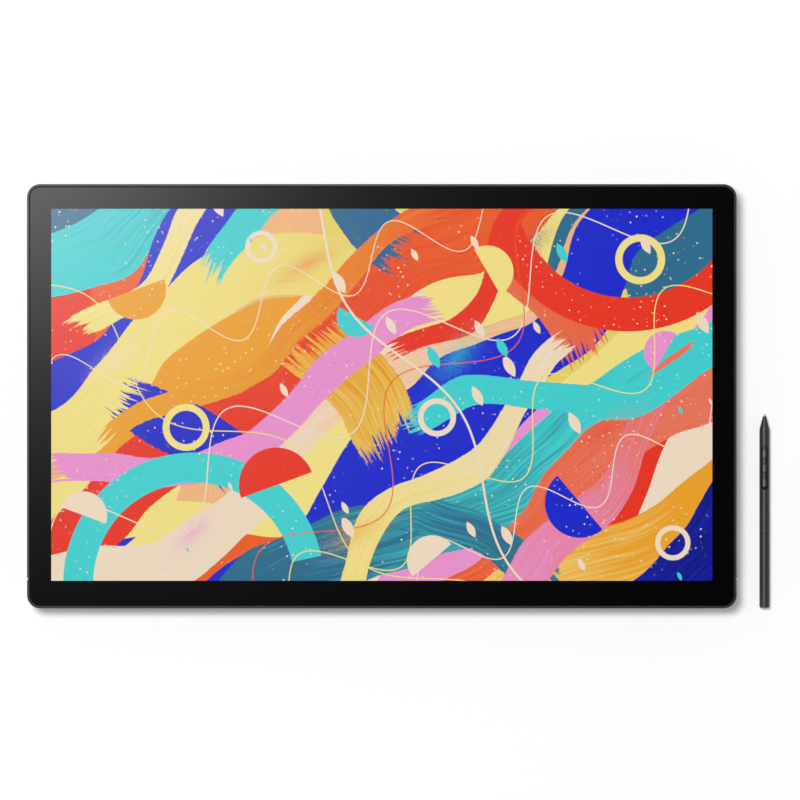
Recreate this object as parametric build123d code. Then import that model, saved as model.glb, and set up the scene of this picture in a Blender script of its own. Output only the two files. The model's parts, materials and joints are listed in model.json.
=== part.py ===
from build123d import *
import math
import os

# Pen display of the 24 inch class, lying flat on its rubber feet with the screen up, and its pen beside it.
# Millimetres. +Z is up, +Y points away from the user, and the origin is on the desk plane, in the middle of
# the footprint of tablet and pen together. Everything below is worked out about the tablet's own centre and
# moved to that origin when it is saved.

# Screen face
picture_width = 527.0
picture_height = 296.5
bezel_side = 19.3
bezel_top = 19.7
bezel_bottom = 22.0
corner_radius = 10.4
rim_width = 2.1
rim_rounding = 0.6
rim_inner_bevel = 0.35
glass_gap = 0.2
glass_bevel = 0.3
chin_height = 23.4
seam_gap = 0.1
notch_height = 1.8
notch_depth = 1.6

# Layers, from the desk up
foot_stand = 1.8
cover_wall = 2.2
hdmi_height = 5.6
socket_room = 0.8
board_sheet = 1.6
board_standoff = 1.8
chassis_sheet = 1.0
shield_sheet = 0.3
sensor_sheet = 0.8
tray_sheet = 0.6
reflector_sheet = 0.2
guide_sheet = 2.0
film_sheet = 0.6
film_gap = 0.5
cell_sheet = 1.2
bond_sheet = 0.3
print_sheet = 0.1
glass_sheet = 1.6

# Clearances
fit_gap = 0.1
loose_gap = 0.4
running_gap = 0.05
overrun = 2.0

# Front frame
ledge_width = 7.5
ledge_sheet = 1.6
tape_sheet = 0.5
tape_margin = 0.4
frame_boss_radius = 3.2
frame_boss_gap = 0.6
frame_screw_x_shares = (-0.36, -0.12, 0.12, 0.36)
frame_screw_y_shares = (-0.3, 0.0, 0.3)

# Display module
window_margin = 0.3
film_exit_share = 0.33
side_overhang = 1.0
end_overhang = 2.6
ring_wall = 3.0
cell_margin = 3.2
led_depth = 2.0
led_count = 36
led_length = 5.6
led_base = 0.5
sensor_margin = 1.0
shield_margin = 3.0
film_count = 6
film_width = 30.0
flex_sheet = 0.2
flex_reach = 5.4
flex_bend = 1.0
source_board_width = 5.2
source_board_share = 0.8
source_board_sheet = 0.8
source_board_gap = 0.5

# Rear cover
bevel_run = 26.0
underside_blend = 30.0
underside_corner_growth = 10.0
lip_height = 2.6
lip_wall = 1.2
lip_gap = 0.6
rib_wall = 1.4
rib_height = 3.4
rib_x_shares = (-0.42, -0.22, 0.22, 0.42)
rib_y_shares = (-0.3, -0.12, 0.06, 0.24)
cover_boss_radius = 4.2
cover_boss_height = 4.4
cover_screw_side_inset = 25.7
cover_screw_front_inset = 34.3
cover_screw_rear_inset = 45.8
cover_screw_offset = 27.0

# Fasteners
screw_radius = 1.4
screw_head_radius = 2.6
screw_head_height = 1.5
screw_thread_length = 4.0
small_screw_grip = 2.0
screw_recess = 1.2
small_screw_radius = 1.0
small_screw_head_radius = 2.0
small_screw_head_height = 1.0
socket_radius = 1.1
socket_depth = 0.7
small_socket_radius = 0.8
small_socket_depth = 0.5
post_radius = 3.0
board_post_radius = 2.6
board_hole_inset = 4.0

# Mounting pattern for an arm or a stand
vesa_spacing = 100.0
vesa_post_radius = 4.5
vesa_thread_radius = 2.1
vesa_thread_depth = 9.0
vesa_setback = 0.3
vesa_boss_wall = 1.6

# Cable bay and sockets
bay_width = 92.0
bay_depth = 55.0
bay_wall = 1.6
bay_roof_gap = 0.3
bay_roof_wall = 1.2
bay_corner = 2.0
hdmi_width = 15.0
hdmi_depth = 11.0
hdmi_tongue_width = 11.2
hdmi_tongue_sheet = 1.0
hdmi_side_angle = 70.0
usb_width = 8.94
usb_height = 3.2
usb_tongue_width = 6.6
usb_tongue_sheet = 0.7
socket_shell = 0.35
socket_cavity = 8.0
socket_rim = 0.3
hdmi_inset = 16.0
usb_insets = (40.0, 18.0)

# Boards
board_side_gap = 3.5
main_board_length = 104.0
board_edge_gap = 0.6
control_board_width = 70.0
control_board_length = 34.0
control_board_sheet = 1.2
control_board_gap = 23.0
control_board_inset = 85.1
chip_height = 1.2
coil_height = 2.4
main_chip_plan = ((0.0, 0.0, 17.0), (-22.0, 8.0, 11.0), (-22.0, -10.0, 11.0), (22.0, 0.0, 12.0))
main_coil_plan = ((-14.0, -40.0, 2.4), (0.0, -40.0, 2.4), (14.0, -40.0, 2.4))
control_chip_plan = ((-9.0, 0.0, 10.0), (11.5, 0.0, 7.0))
padded_chips = (0, 3)
pad_sheet = 0.5
spreader_width = 62.0
spreader_length = 50.0
spreader_sheet = 1.4
fin_height = 1.2
fin_wall = 1.0
fin_count = 9
spreader_leg_radius = 1.6
spreader_leg_inset = 3.2
ribbon_sheet = 0.3
ribbon_bend = 0.5
panel_ribbon_turn = 1.6
sensor_ribbon_turn = 0.7
panel_ribbon_width = 24.0
panel_ribbon_inset = 22.0
sensor_ribbon_width = 20.0
connector_length = 5.0
connector_height = 1.5

# Vents
vent_length = 72.0
vent_width = 14.0
vent_corner = 2.0
vent_slot = 1.6
vent_count = 14
vent_flange = 1.6
vent_flange_sheet = 0.8
vent_gap = 24.4
vent_inset = 38.0

# Feet
foot_recess = 0.6
foot_corner = 4.0
front_foot_length = 70.0
rear_foot_length = 36.0
foot_width = 9.0
front_foot_inset = 84.8
rear_foot_inset = 41.8
foot_inset = 36.0
foot_edge = 0.5

# Folding legs
leg_inset = 112.8
leg_width = 40.0
leg_tip_width = 34.0
leg_length = 98.0
leg_thickness = 8.0
leg_setback = 0.2
leg_skin = 2.0
leg_wall = 2.0
leg_rib_wall = 1.4
leg_rib_count = 4
leg_corner = 2.0
leg_edge = 0.6
leg_tip_length = 6.0
leg_tip_tongue = 3.0
leg_tip_tongue_width = 22.0
leg_tip_tongue_height = 3.0
leg_open_angle = 105.0
hinge_inset = 69.1
pin_radius = 2.0
ear_sheet = 2.0
ear_radius = 3.7
washer_sheet = 0.5
washer_radius = 3.4
shoulder_gap = 1.6
pocket_gap = 0.6
pocket_roof_gap = 0.5
pocket_wall = 1.8
pocket_swing_gap = 0.7
bracket_sheet = 1.5
bracket_length = 26.0
bracket_flange = 9.0
bracket_screw_share = 0.3
scoop_width = 24.0
scoop_length = 14.0
scoop_corner = 6.0

# Power button, status light and lock slot
button_inset = 44.8
button_length = 13.0
button_height = 2.4
button_proud = 0.0
button_travel = 0.5
button_flange = 1.4
button_flange_sheet = 0.7
button_stem_length = 5.0
button_stem_reach = 0.8
switch_width = 4.0
switch_height = 2.6
switch_depth = 1.6
switch_board_length = 30.0
switch_board_height = 3.6
switch_board_sheet = 1.0
light_offset = 11.0
light_radius = 0.8
lock_slot_length = 6.0
lock_slot_height = 2.5
lock_plate_length = 14.0
lock_plate_height = 3.8
lock_plate_sheet = 2.0
lock_inset = 93.1

# Pen
pen_radius = 4.08
pen_length = 155.2
pen_gap = 19.2
pen_wall = 1.0
nib_radius = 0.65
nib_rounding_share = 0.9
nib_reach = 2.1
nib_seat_depth = 2.0
nib_bore_gap = 0.15
nib_travel = 0.3
nose_end_radius = 1.5
nose_rounding = 0.55
nose_length = 10.1
nose_shoulder_radius = 3.96
nose_spigot_length = 3.0
flare_length = 1.4
pen_seam = 96.0
pen_end_chamfer = 0.7
seam_chamfer = 0.22
slot_start = 26.1
slot_length = 35.0
slot_width = 5.2
panel_seat = 2.2
panel_groove = 0.35
panel_crescent = 1.9
panel_step = 0.45
panel_proud = 0.12
key_length = 6.2
key_width = 3.2
key_end_margin = 2.8
key_proud = 0.45
key_travel = 0.3
key_gap = 0.25
key_plunger_length = 2.4
key_plunger_width = 1.6
key_flange = 0.45
key_flange_sheet = 0.6
key_flange_gap = 0.1
ridge_length = 2.6
ridge_width = 3.0
ridge_proud = 0.3
pen_fit = 0.12
spigot_length = 6.0
carrier_radius = 2.7
pen_board_width = 4.2
pen_board_sheet = 0.7
dome_height = 0.6
dome_length = 2.6
dome_width = 2.0
coil_length = 5.4
coil_radius = 2.6
core_radius = 1.9
core_bore = 1.05
core_overhang = 0.5
coil_gap = 0.3
pressure_sensor_length = 4.2
pressure_sensor_radius = 2.7
board_gap = 2.0
weight_length = 30.0
weight_radius = 2.4

# Worked out: outlines
tablet_width = picture_width + 2 * bezel_side
tablet_height = picture_height + bezel_top + bezel_bottom
half_width = tablet_width / 2
half_height = tablet_height / 2
picture_y = (bezel_bottom - bezel_top) / 2
seam_y = chin_height - half_height
glass_inset = rim_width + glass_gap
ledge_inset = rim_width + ledge_width
window_width = picture_width + 2 * window_margin
window_height = picture_height + 2 * window_margin
ring_inner_width = window_width + 2 * side_overhang
ring_inner_height = window_height + 2 * end_overhang
ring_outer_width = ring_inner_width + 2 * ring_wall
ring_outer_height = ring_inner_height + 2 * ring_wall
tray_width = ring_outer_width + 2 * (fit_gap + tray_sheet)
tray_height = ring_outer_height + 2 * (fit_gap + tray_sheet)
tray_low_y = picture_y - tray_height / 2
tray_high_y = picture_y + tray_height / 2
cell_width = picture_width + 2 * cell_margin
cell_height = picture_height + 2 * cell_margin
underside_width = tablet_width - 2 * bevel_run
underside_height = tablet_height - 2 * bevel_run

# Worked out: levels above the desk
back_z = foot_stand
cover_floor_z = back_z + cover_wall
board_low_z = cover_floor_z + hdmi_height + socket_room
board_high_z = board_low_z + board_sheet
chassis_low_z = board_high_z + board_standoff
chassis_high_z = chassis_low_z + chassis_sheet
shield_high_z = chassis_high_z + shield_sheet
sensor_high_z = shield_high_z + sensor_sheet
tray_floor_z = sensor_high_z + tray_sheet
reflector_high_z = tray_floor_z + reflector_sheet
guide_high_z = reflector_high_z + guide_sheet
film_high_z = guide_high_z + film_sheet
cell_low_z = film_high_z + film_gap
cell_high_z = cell_low_z + cell_sheet
bond_high_z = cell_high_z + bond_sheet
glass_low_z = bond_high_z + print_sheet
glass_high_z = glass_low_z + glass_sheet
ledge_high_z = bond_high_z - tape_sheet
ledge_low_z = ledge_high_z - ledge_sheet
parting_z = chassis_low_z - lip_height - lip_gap
channel_z = (chassis_high_z + ledge_low_z) / 2
button_x = half_width - button_inset
lock_y = half_height - lock_inset
bevel_angle = math.atan2(parting_z - back_z, bevel_run)

# Worked out: legs
hinge_y = half_height - hinge_inset
leg_low_z = back_z + leg_setback
leg_high_z = leg_low_z + leg_thickness
pin_z = leg_low_z + leg_thickness / 2
knuckle_width = leg_width - 2 * (ear_sheet + washer_sheet + 2 * running_gap)
shoulder_y = hinge_y - ear_radius - shoulder_gap
leg_end_y = hinge_y - leg_length
leg_tip_y = leg_end_y - leg_tip_length
pocket_roof_z = leg_high_z + pocket_roof_gap
open_lean = math.radians(leg_open_angle - 90)
knuckle_radius = leg_thickness / 2
swing_reach = knuckle_radius * math.cos(open_lean) + (
    pin_z - back_z + knuckle_radius * math.sin(open_lean)
) * math.tan(open_lean)
pocket_high_y = hinge_y + swing_reach + pocket_swing_gap
pocket_low_y = leg_tip_y - pocket_gap
pocket_width = leg_width + 2 * pocket_gap
scoop_low_y = pocket_low_y - scoop_length
leg_places = (leg_inset - half_width, half_width - leg_inset)

# Worked out: cable bay and boards
bay_high_y = half_height - rim_width - lip_wall - loose_gap
bay_low_y = bay_high_y - bay_depth
main_board_width = vesa_spacing - 2 * (vesa_post_radius + board_side_gap)
bay_roof_z = chassis_high_z - bay_roof_gap - bay_roof_wall
main_board_high_y = bay_low_y - bay_wall - board_edge_gap
main_board_low_y = main_board_high_y - main_board_length
main_board_y = (main_board_high_y + main_board_low_y) / 2
vent_x = bay_width / 2 + bay_wall + vent_gap + vent_length / 2
vent_y = half_height - vent_inset
hdmi_x = hdmi_inset - main_board_width / 2
usb_places = [main_board_width / 2 - inset for inset in usb_insets]
panel_ribbon_x = main_board_width / 2 - panel_ribbon_inset
control_board_x = -main_board_width / 2 - control_board_gap - control_board_width / 2
control_board_y = control_board_inset - half_height
source_board_high_y = tray_low_y - source_board_gap
source_board_low_y = source_board_high_y - source_board_width
panel_ribbon_turn_y = source_board_low_y - panel_ribbon_turn
sensor_ribbon_x = control_board_x
sensor_ribbon_turn_y = tray_low_y + sensor_margin - sensor_ribbon_turn

# Worked out: pen
pen_x = half_width + pen_gap + pen_radius
pen_end_y = -half_height
pen_tip_y = pen_end_y + pen_length
footprint_x = (pen_x + pen_radius - half_width) / 2
pen_bore = pen_radius - pen_wall
slot_end = slot_start + slot_length


def slab(x_low, x_high, y_low, y_high, z_low, z_high):
    """A block between two corners."""
    block = Box(x_high - x_low, y_high - y_low, z_high - z_low)
    return Pos((x_low + x_high) / 2, (y_low + y_high) / 2, (z_low + z_high) / 2) * block


def plate(width, height, corner, z_low, z_high, x=0, y=0):
    """A flat plate with rounded corners, centred on x, y."""
    return extrude(Pos(x, y, z_low) * RectangleRounded(width, height, corner), z_high - z_low)


def tablet_plate(inset, z_low, z_high):
    """A plate of the tablet's own outline, drawn in by inset."""
    corner = corner_radius - inset if inset < corner_radius - fit_gap else fit_gap
    return plate(tablet_width - 2 * inset, tablet_height - 2 * inset, corner, z_low, z_high)


def post(x, y, z_low, z_high, radius):
    """An upright round post."""
    return Pos(x, y, (z_low + z_high) / 2) * Cylinder(radius, z_high - z_low)


def rod_x(x_low, x_high, y, z, radius):
    """A round rod along X."""
    rod = Rot(0, 90, 0) * Cylinder(radius, x_high - x_low)
    return Pos((x_low + x_high) / 2, y, z) * rod


def rod_y(x, y_low, y_high, z, radius):
    """A round rod along Y."""
    rod = Rot(90, 0, 0) * Cylinder(radius, y_high - y_low)
    return Pos(x, (y_low + y_high) / 2, z) * rod


def screw(x, y, z_head, length, radius, head_radius, head_height, drive_radius, drive_depth):
    """A screw driven upwards from below: its head's free face is at z_head, with a hexagon socket in it."""
    head = post(x, y, z_head, z_head + head_height, head_radius)
    shank = post(x, y, z_head + head_height, z_head + head_height + length, radius)
    drive = extrude(Pos(x, y, z_head) * RegularPolygon(drive_radius, 6), drive_depth)
    return head + shank - drive


def grid(x_places, y_places):
    """Every pair of the places given."""
    return [(x, y) for x in x_places for y in y_places]


def group(pieces):
    """Separate solids that share one node."""
    return Compound([solid for piece in pieces for solid in piece.solids()])


# Screw places
frame_screw_inset = rim_width + frame_boss_gap + frame_boss_radius
frame_screws_top = [(share * tablet_width, half_height - frame_screw_inset) for share in frame_screw_x_shares]
frame_screws_bottom = [(x, -y) for x, y in frame_screws_top]
frame_screws_side = grid(
    (frame_screw_inset - half_width, half_width - frame_screw_inset),
    [share * tablet_height for share in frame_screw_y_shares],
)
cover_screw_side_x = underside_width / 2 - cover_screw_side_inset
cover_screw_middle_x = vesa_spacing / 2 + cover_screw_offset
cover_screws = grid(
    (-cover_screw_side_x, -cover_screw_middle_x, cover_screw_middle_x, cover_screw_side_x),
    (cover_screw_front_inset - underside_height / 2, underside_height / 2 - cover_screw_rear_inset),
) + [(-cover_screw_side_x, 0), (cover_screw_side_x, 0)]
main_board_holes = grid(
    (board_hole_inset - main_board_width / 2, main_board_width / 2 - board_hole_inset),
    (main_board_low_y + board_hole_inset, main_board_high_y - board_hole_inset),
)
control_board_holes = grid(
    (
        control_board_x - control_board_width / 2 + board_hole_inset,
        control_board_x + control_board_width / 2 - board_hole_inset,
    ),
    (
        control_board_y - control_board_length / 2 + board_hole_inset,
        control_board_y + control_board_length / 2 - board_hole_inset,
    ),
)
vesa_places = grid((-vesa_spacing / 2, vesa_spacing / 2), (-vesa_spacing / 2, vesa_spacing / 2))
cover_boss_high_z = cover_floor_z + cover_boss_height
bracket_screw_x = leg_width / 2 + bracket_flange / 2
bracket_screws = grid(
    [x + side * bracket_screw_x for x in leg_places for side in (-1, 1)],
    (hinge_y - bracket_screw_share * bracket_length, hinge_y + bracket_screw_share * bracket_length),
)


# Display stack


def cover_glass():
    """The one-piece front glass, with a small bevel round its top edge."""
    glass = tablet_plate(glass_inset, glass_low_z, glass_high_z)
    return chamfer(glass.faces().sort_by(Axis.Z)[-1].edges(), glass_bevel)


def border_print():
    """The black border printed on the back of the glass."""
    border = tablet_plate(glass_inset + glass_gap, bond_high_z, glass_low_z)
    window = slab(
        -picture_width / 2,
        picture_width / 2,
        picture_y - picture_height / 2,
        picture_y + picture_height / 2,
        bond_high_z - overrun,
        glass_low_z + overrun,
    )
    return border - window


def bonding_layer():
    """The clear layer that bonds the panel to the glass."""
    return plate(cell_width, cell_height, fit_gap, cell_high_z, bond_high_z, y=picture_y)


def lcd_cell():
    """The liquid-crystal panel that shows the picture."""
    return plate(cell_width, cell_height, fit_gap, cell_low_z, cell_high_z, y=picture_y)


def diffuser_films():
    """The stack of diffuser and prism films, with ears that hang in the panel ring."""
    width = ring_inner_width - 2 * fit_gap
    height = ring_inner_height - 2 * fit_gap
    return plate(width, height, led_depth, guide_high_z, film_high_z, y=picture_y)


def light_guide():
    """The acrylic light guide, lit from its lower edge."""
    half = ring_inner_width / 2 - fit_gap
    low_y = picture_y - ring_inner_height / 2 + led_depth + 2 * fit_gap
    high_y = picture_y + ring_inner_height / 2 - fit_gap
    return slab(-half, half, low_y, high_y, reflector_high_z, guide_high_z)


def back_reflector():
    """The white sheet behind the light guide."""
    half = ring_inner_width / 2 - fit_gap
    low_y = picture_y - ring_inner_height / 2 + led_depth + 2 * fit_gap
    high_y = picture_y + ring_inner_height / 2 - fit_gap
    return slab(-half, half, low_y, high_y, tray_floor_z, reflector_high_z)


def led_strip():
    """The strip of lamps along the light guide's lower edge."""
    low_y = picture_y - ring_inner_height / 2 + fit_gap
    high_y = low_y + led_depth
    half = ring_inner_width / 2 - side_overhang
    strip = slab(-half, half, low_y, low_y + led_base, tray_floor_z, guide_high_z)
    pitch = 2 * half / led_count
    for index in range(led_count):
        x = -half + pitch * (index + 0.5)
        lamp = slab(
            x - led_length / 2,
            x + led_length / 2,
            low_y + led_base,
            high_y,
            reflector_high_z,
            guide_high_z - led_base,
        )
        strip += lamp
    return strip


def panel_ring():
    """The moulded ring that holds guide and films in the tray and carries the panel's edge."""
    outer = plate(ring_outer_width, ring_outer_height, fit_gap, tray_floor_z, cell_low_z, y=picture_y)
    well = plate(ring_inner_width, ring_inner_height, fit_gap, tray_floor_z, film_high_z, y=picture_y)
    window = plate(window_width, window_height, fit_gap, film_high_z, cell_low_z, y=picture_y)
    return outer - well - window


def panel_tray():
    """The sheet metal tray of the display module, with cut-away corners."""
    tray = plate(tray_width, tray_height, fit_gap, sensor_high_z, cell_low_z, y=picture_y)
    inner = plate(
        tray_width - 2 * tray_sheet, tray_height - 2 * tray_sheet, fit_gap, tray_floor_z, cell_low_z, y=picture_y
    )
    tray -= inner
    reach = ring_wall
    for x_side in (-1, 1):
        for y_side in (-1, 1):
            corner = Box(reach, reach, cell_low_z - tray_floor_z, align=(Align.CENTER, Align.CENTER, Align.MIN))
            place = Pos(x_side * tray_width / 2, picture_y + y_side * tray_height / 2, tray_floor_z)
            tray -= place * corner
    return tray


def source_board():
    """The narrow driver board beside the tray's lower edge."""
    half = tray_width * source_board_share / 2
    high_z = chassis_high_z + source_board_sheet
    return slab(-half, half, source_board_low_y, source_board_high_y, chassis_high_z, high_z)


def driver_films():
    """The flexible films from the panel's lower edge over the tray wall to the driver board."""
    cell_low_y = picture_y - cell_height / 2
    top_z = cell_low_z + cell_sheet * film_exit_share
    board_z = chassis_high_z + source_board_sheet
    out_y = cell_low_y - flex_reach
    path = FilletPolyline([(cell_low_y, top_z), (out_y, top_z), (out_y, board_z)], radius=flex_bend)
    profile = Plane.YZ * trace(path, flex_sheet)
    pitch = tray_width * source_board_share / film_count
    films = []
    for index in range(film_count):
        x = pitch * (index - (film_count - 1) / 2)
        films.append(Pos(x, 0, 0) * extrude(profile, film_width / 2, both=True))
    inside = slab(-half_width, half_width, -half_height, cell_low_y, board_z, cell_high_z)
    return group([film & inside for film in films])


def sensor_board():
    """The full-size board of sensing loops that finds the pen."""
    board = plate(
        tray_width - 2 * sensor_margin,
        tray_height - 2 * sensor_margin,
        fit_gap,
        shield_high_z,
        sensor_high_z,
        y=picture_y,
    )
    return board


def sensor_shield():
    """The thin shielding sheet behind the sensing board."""
    return plate(
        tray_width - 2 * shield_margin,
        tray_height - 2 * shield_margin,
        fit_gap,
        chassis_high_z,
        shield_high_z,
        y=picture_y,
    )


# Structure


def chassis():
    """The steel plate that carries display, boards, legs and arm mount, with its pressed-in posts."""
    inset = rim_width + loose_gap
    plate_body = tablet_plate(inset, chassis_low_z, chassis_high_z)
    bay_half = bay_width / 2 + bay_wall + loose_gap
    bay_start = bay_low_y - bay_wall - loose_gap
    plate_body -= slab(
        -bay_half, bay_half, bay_start, half_height, chassis_low_z - overrun, chassis_high_z + overrun
    )
    ribbon_places = (
        (panel_ribbon_x, panel_ribbon_width, panel_ribbon_turn_y),
        (sensor_ribbon_x, sensor_ribbon_width, sensor_ribbon_turn_y),
    )
    for x, width, turn_y in ribbon_places:
        reach_x = width / 2 + loose_gap
        reach_y = ribbon_sheet / 2 + loose_gap
        plate_body -= slab(
            x - reach_x,
            x + reach_x,
            turn_y - reach_y,
            turn_y + reach_y,
            chassis_low_z - overrun,
            chassis_high_z + overrun,
        )
    for x, y in cover_screws:
        plate_body += post(x, y, cover_boss_high_z, chassis_low_z, post_radius)
        plate_body -= post(
            x, y, cover_boss_high_z, cover_boss_high_z + screw_thread_length, screw_radius + running_gap
        )
    for x, y in main_board_holes:
        plate_body += post(x, y, board_high_z, chassis_low_z, board_post_radius)
        plate_body -= post(x, y, board_high_z, chassis_high_z, small_screw_radius + running_gap)
    for x, y in control_board_holes:
        plate_body += post(x, y, board_high_z, chassis_low_z, board_post_radius)
        plate_body -= post(x, y, board_high_z, chassis_high_z, small_screw_radius + running_gap)
    for x, y in frame_screws_top + frame_screws_bottom + frame_screws_side + bracket_screws:
        plate_body -= post(
            x, y, chassis_low_z - overrun, chassis_high_z + overrun, small_screw_radius + running_gap
        )
    return plate_body


def frame_ring():
    """The whole front frame before it is parted: side wall, ledge for the glass and screw bosses."""
    wall = tablet_plate(0, parting_z, glass_high_z)
    wall = fillet(wall.faces().sort_by(Axis.Z)[-1].edges(), rim_rounding)
    wall -= tablet_plate(rim_width, parting_z, glass_high_z)
    inner_rim = wall.faces().sort_by(Axis.Z)[-1].inner_wires()[0]
    wall = chamfer(inner_rim.edges(), rim_inner_bevel)
    ledge = tablet_plate(rim_width, ledge_low_z, ledge_high_z) - tablet_plate(
        ledge_inset, ledge_low_z, ledge_high_z
    )
    ring = wall + ledge
    for x, y in frame_screws_top + frame_screws_bottom + frame_screws_side:
        boss = post(x, y, chassis_high_z, ledge_low_z, frame_boss_radius)
        ring += boss - post(x, y, chassis_high_z, ledge_low_z, small_screw_radius + running_gap)
    for side in (-1, 1):
        x_edge = side * half_width
        ring -= slab(
            min(x_edge, x_edge - side * notch_depth),
            max(x_edge, x_edge - side * notch_depth),
            seam_y - notch_height / 2,
            seam_y + notch_height / 2,
            parting_z - overrun,
            glass_high_z + overrun,
        )
    return ring


def upper_frame(ring):
    """The frame's top and sides, down to the seam, with the openings for button, light and lock."""
    frame = ring & slab(
        -half_width, half_width, seam_y + seam_gap / 2, half_height, parting_z, glass_high_z
    )
    frame -= pill_along_y(button_length + 2 * fit_gap, button_height + 2 * fit_gap, rim_width)
    light_x = button_x - light_offset
    frame -= rod_y(light_x, half_height - rim_width, half_height, channel_z, light_radius + fit_gap / 2)
    frame -= slab(
        -half_width,
        rim_width - half_width,
        lock_y - lock_slot_length / 2,
        lock_y + lock_slot_length / 2,
        channel_z - lock_slot_height / 2,
        channel_z + lock_slot_height / 2,
    )
    return frame + switch_guides()


def lower_frame(ring):
    """The frame's chin, below the seam."""
    return ring & slab(
        -half_width, half_width, -half_height, seam_y - seam_gap / 2, parting_z, glass_high_z
    )


def pill_along_y(length, height, depth, back=0):
    """A pill-shaped bar at the power button's place, depth long, its outer end set back from the side wall."""
    outline = Plane.XZ * SlotOverall(length, height)
    bar = extrude(outline, depth)
    return Pos(button_x, half_height - back, channel_z) * bar


def switch_guides():
    """Two slotted guides under the ledge that hold the ends of the switch board."""
    guides = None
    face_y = switch_face_y()
    for side in (-1, 1):
        x = button_x + side * switch_board_length / 2
        block = slab(
            x - rim_width,
            x + rim_width,
            face_y - switch_board_sheet - rim_width,
            half_height - rim_width,
            ledge_low_z - switch_board_height / 2,
            ledge_low_z,
        )
        slot = slab(
            button_x - switch_board_length / 2 - fit_gap,
            button_x + switch_board_length / 2 + fit_gap,
            face_y - switch_board_sheet - fit_gap,
            face_y + fit_gap,
            ledge_low_z - switch_board_height,
            ledge_low_z,
        )
        inner = slab(
            button_x - switch_board_length / 2 + rim_width - fit_gap,
            button_x + switch_board_length / 2 - rim_width + fit_gap,
            face_y - switch_board_sheet - 2 * rim_width,
            half_height - rim_width,
            ledge_low_z - switch_board_height,
            ledge_low_z,
        )
        guide = block - slot - inner
        guides = guide if guides is None else guides + guide
    return guides


def switch_face_y():
    """Where the switch board's front face stands."""
    inner_wall = half_height - rim_width
    return inner_wall - button_flange_sheet - button_stem_reach - button_travel - fit_gap - switch_depth


def glass_tape():
    """The foam tape between glass and ledge."""
    outer = tablet_plate(glass_inset + tape_margin, ledge_high_z, bond_high_z)
    return outer - tablet_plate(ledge_inset - tape_margin, ledge_high_z, bond_high_z)


# Rear cover


def bevelled_back(inset_low, inset_high, z_low, z_high, corner_low, corner_high):
    """A solid between two rounded outlines: the wide one above, the drawn-in one below."""
    low = Pos(0, 0, z_low) * RectangleRounded(
        tablet_width - 2 * inset_low, tablet_height - 2 * inset_low, corner_low
    )
    high = Pos(0, 0, z_high) * RectangleRounded(
        tablet_width - 2 * inset_high, tablet_height - 2 * inset_high, corner_high
    )
    return loft([low, high], ruled=True)


def leg_outline(margin):
    """The leg's outline in plan, from its shoulder to its tip, grown by margin."""
    half = leg_width / 2 + margin
    tip_half = leg_tip_width / 2 + margin
    low_y = leg_tip_y - margin
    outline = make_face(
        Polyline(
            [
                (-half, shoulder_y),
                (half, shoulder_y),
                (tip_half, low_y),
                (-tip_half, low_y),
                (-half, shoulder_y),
            ]
        )
    )
    corners = outline.vertices().sort_by(Axis.Y)[:2]
    return fillet(corners, leg_corner + margin)


def leg_pocket(x, margin, z_low, z_high):
    """The space a folded leg lies in, with its finger scoop, grown by margin."""
    body = extrude(Pos(x, 0, z_low) * leg_outline(pocket_gap + margin), z_high - z_low)
    head_low_y = shoulder_y - leg_corner
    head = slab(
        x - pocket_width / 2 - margin,
        x + pocket_width / 2 + margin,
        head_low_y,
        pocket_high_y + margin,
        z_low,
        z_high,
    )
    scoop_high_y = leg_tip_y + scoop_corner
    scoop = plate(
        scoop_width + 2 * margin,
        scoop_high_y - scoop_low_y + margin,
        scoop_corner,
        z_low,
        z_high,
        x=x,
        y=(scoop_high_y + scoop_low_y - margin) / 2,
    )
    return body + head + scoop


def cover_ribs():
    """Stiffening ribs on the cover's floor, kept out of the boards' space."""
    reach_x = underside_width / 2 - rib_wall
    reach_y = underside_height / 2 - rib_wall
    top = cover_floor_z + rib_height
    ribs = None
    for share in rib_x_shares:
        x = share * underside_width
        rib = slab(x - rib_wall / 2, x + rib_wall / 2, -reach_y, reach_y, cover_floor_z, top)
        ribs = rib if ribs is None else ribs + rib
    for share in rib_y_shares:
        y = share * underside_height
        ribs += slab(-reach_x, reach_x, y - rib_wall / 2, y + rib_wall / 2, cover_floor_z, top)
    vent_reach = vent_flange + loose_gap
    for side in (-1, 1):
        ribs -= plate(
            vent_length + 2 * vent_reach,
            vent_width + 2 * vent_reach,
            vent_corner,
            cover_floor_z,
            top,
            x=side * vent_x,
            y=vent_y,
        )
    main_half = main_board_width / 2 + loose_gap
    ribs -= slab(-main_half, main_half, main_board_low_y - loose_gap, half_height, cover_floor_z, top)
    control_half = control_board_width / 2 + loose_gap
    ribs -= slab(
        control_board_x - control_half,
        control_board_x + control_half,
        control_board_y - control_board_length / 2 - loose_gap,
        control_board_y + control_board_length / 2 + loose_gap,
        cover_floor_z,
        top,
    )
    return ribs


def foot_places():
    """Centre and length of each rubber foot."""
    low_y = foot_inset - half_height
    high_y = half_height - foot_inset
    front_x = underside_width / 2 - front_foot_inset
    rear_x = underside_width / 2 - rear_foot_inset
    front = [(side * front_x, low_y, front_foot_length) for side in (-1, 1)]
    rear = [(side * rear_x, high_y, rear_foot_length) for side in (-1, 1)]
    return front + rear


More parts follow.
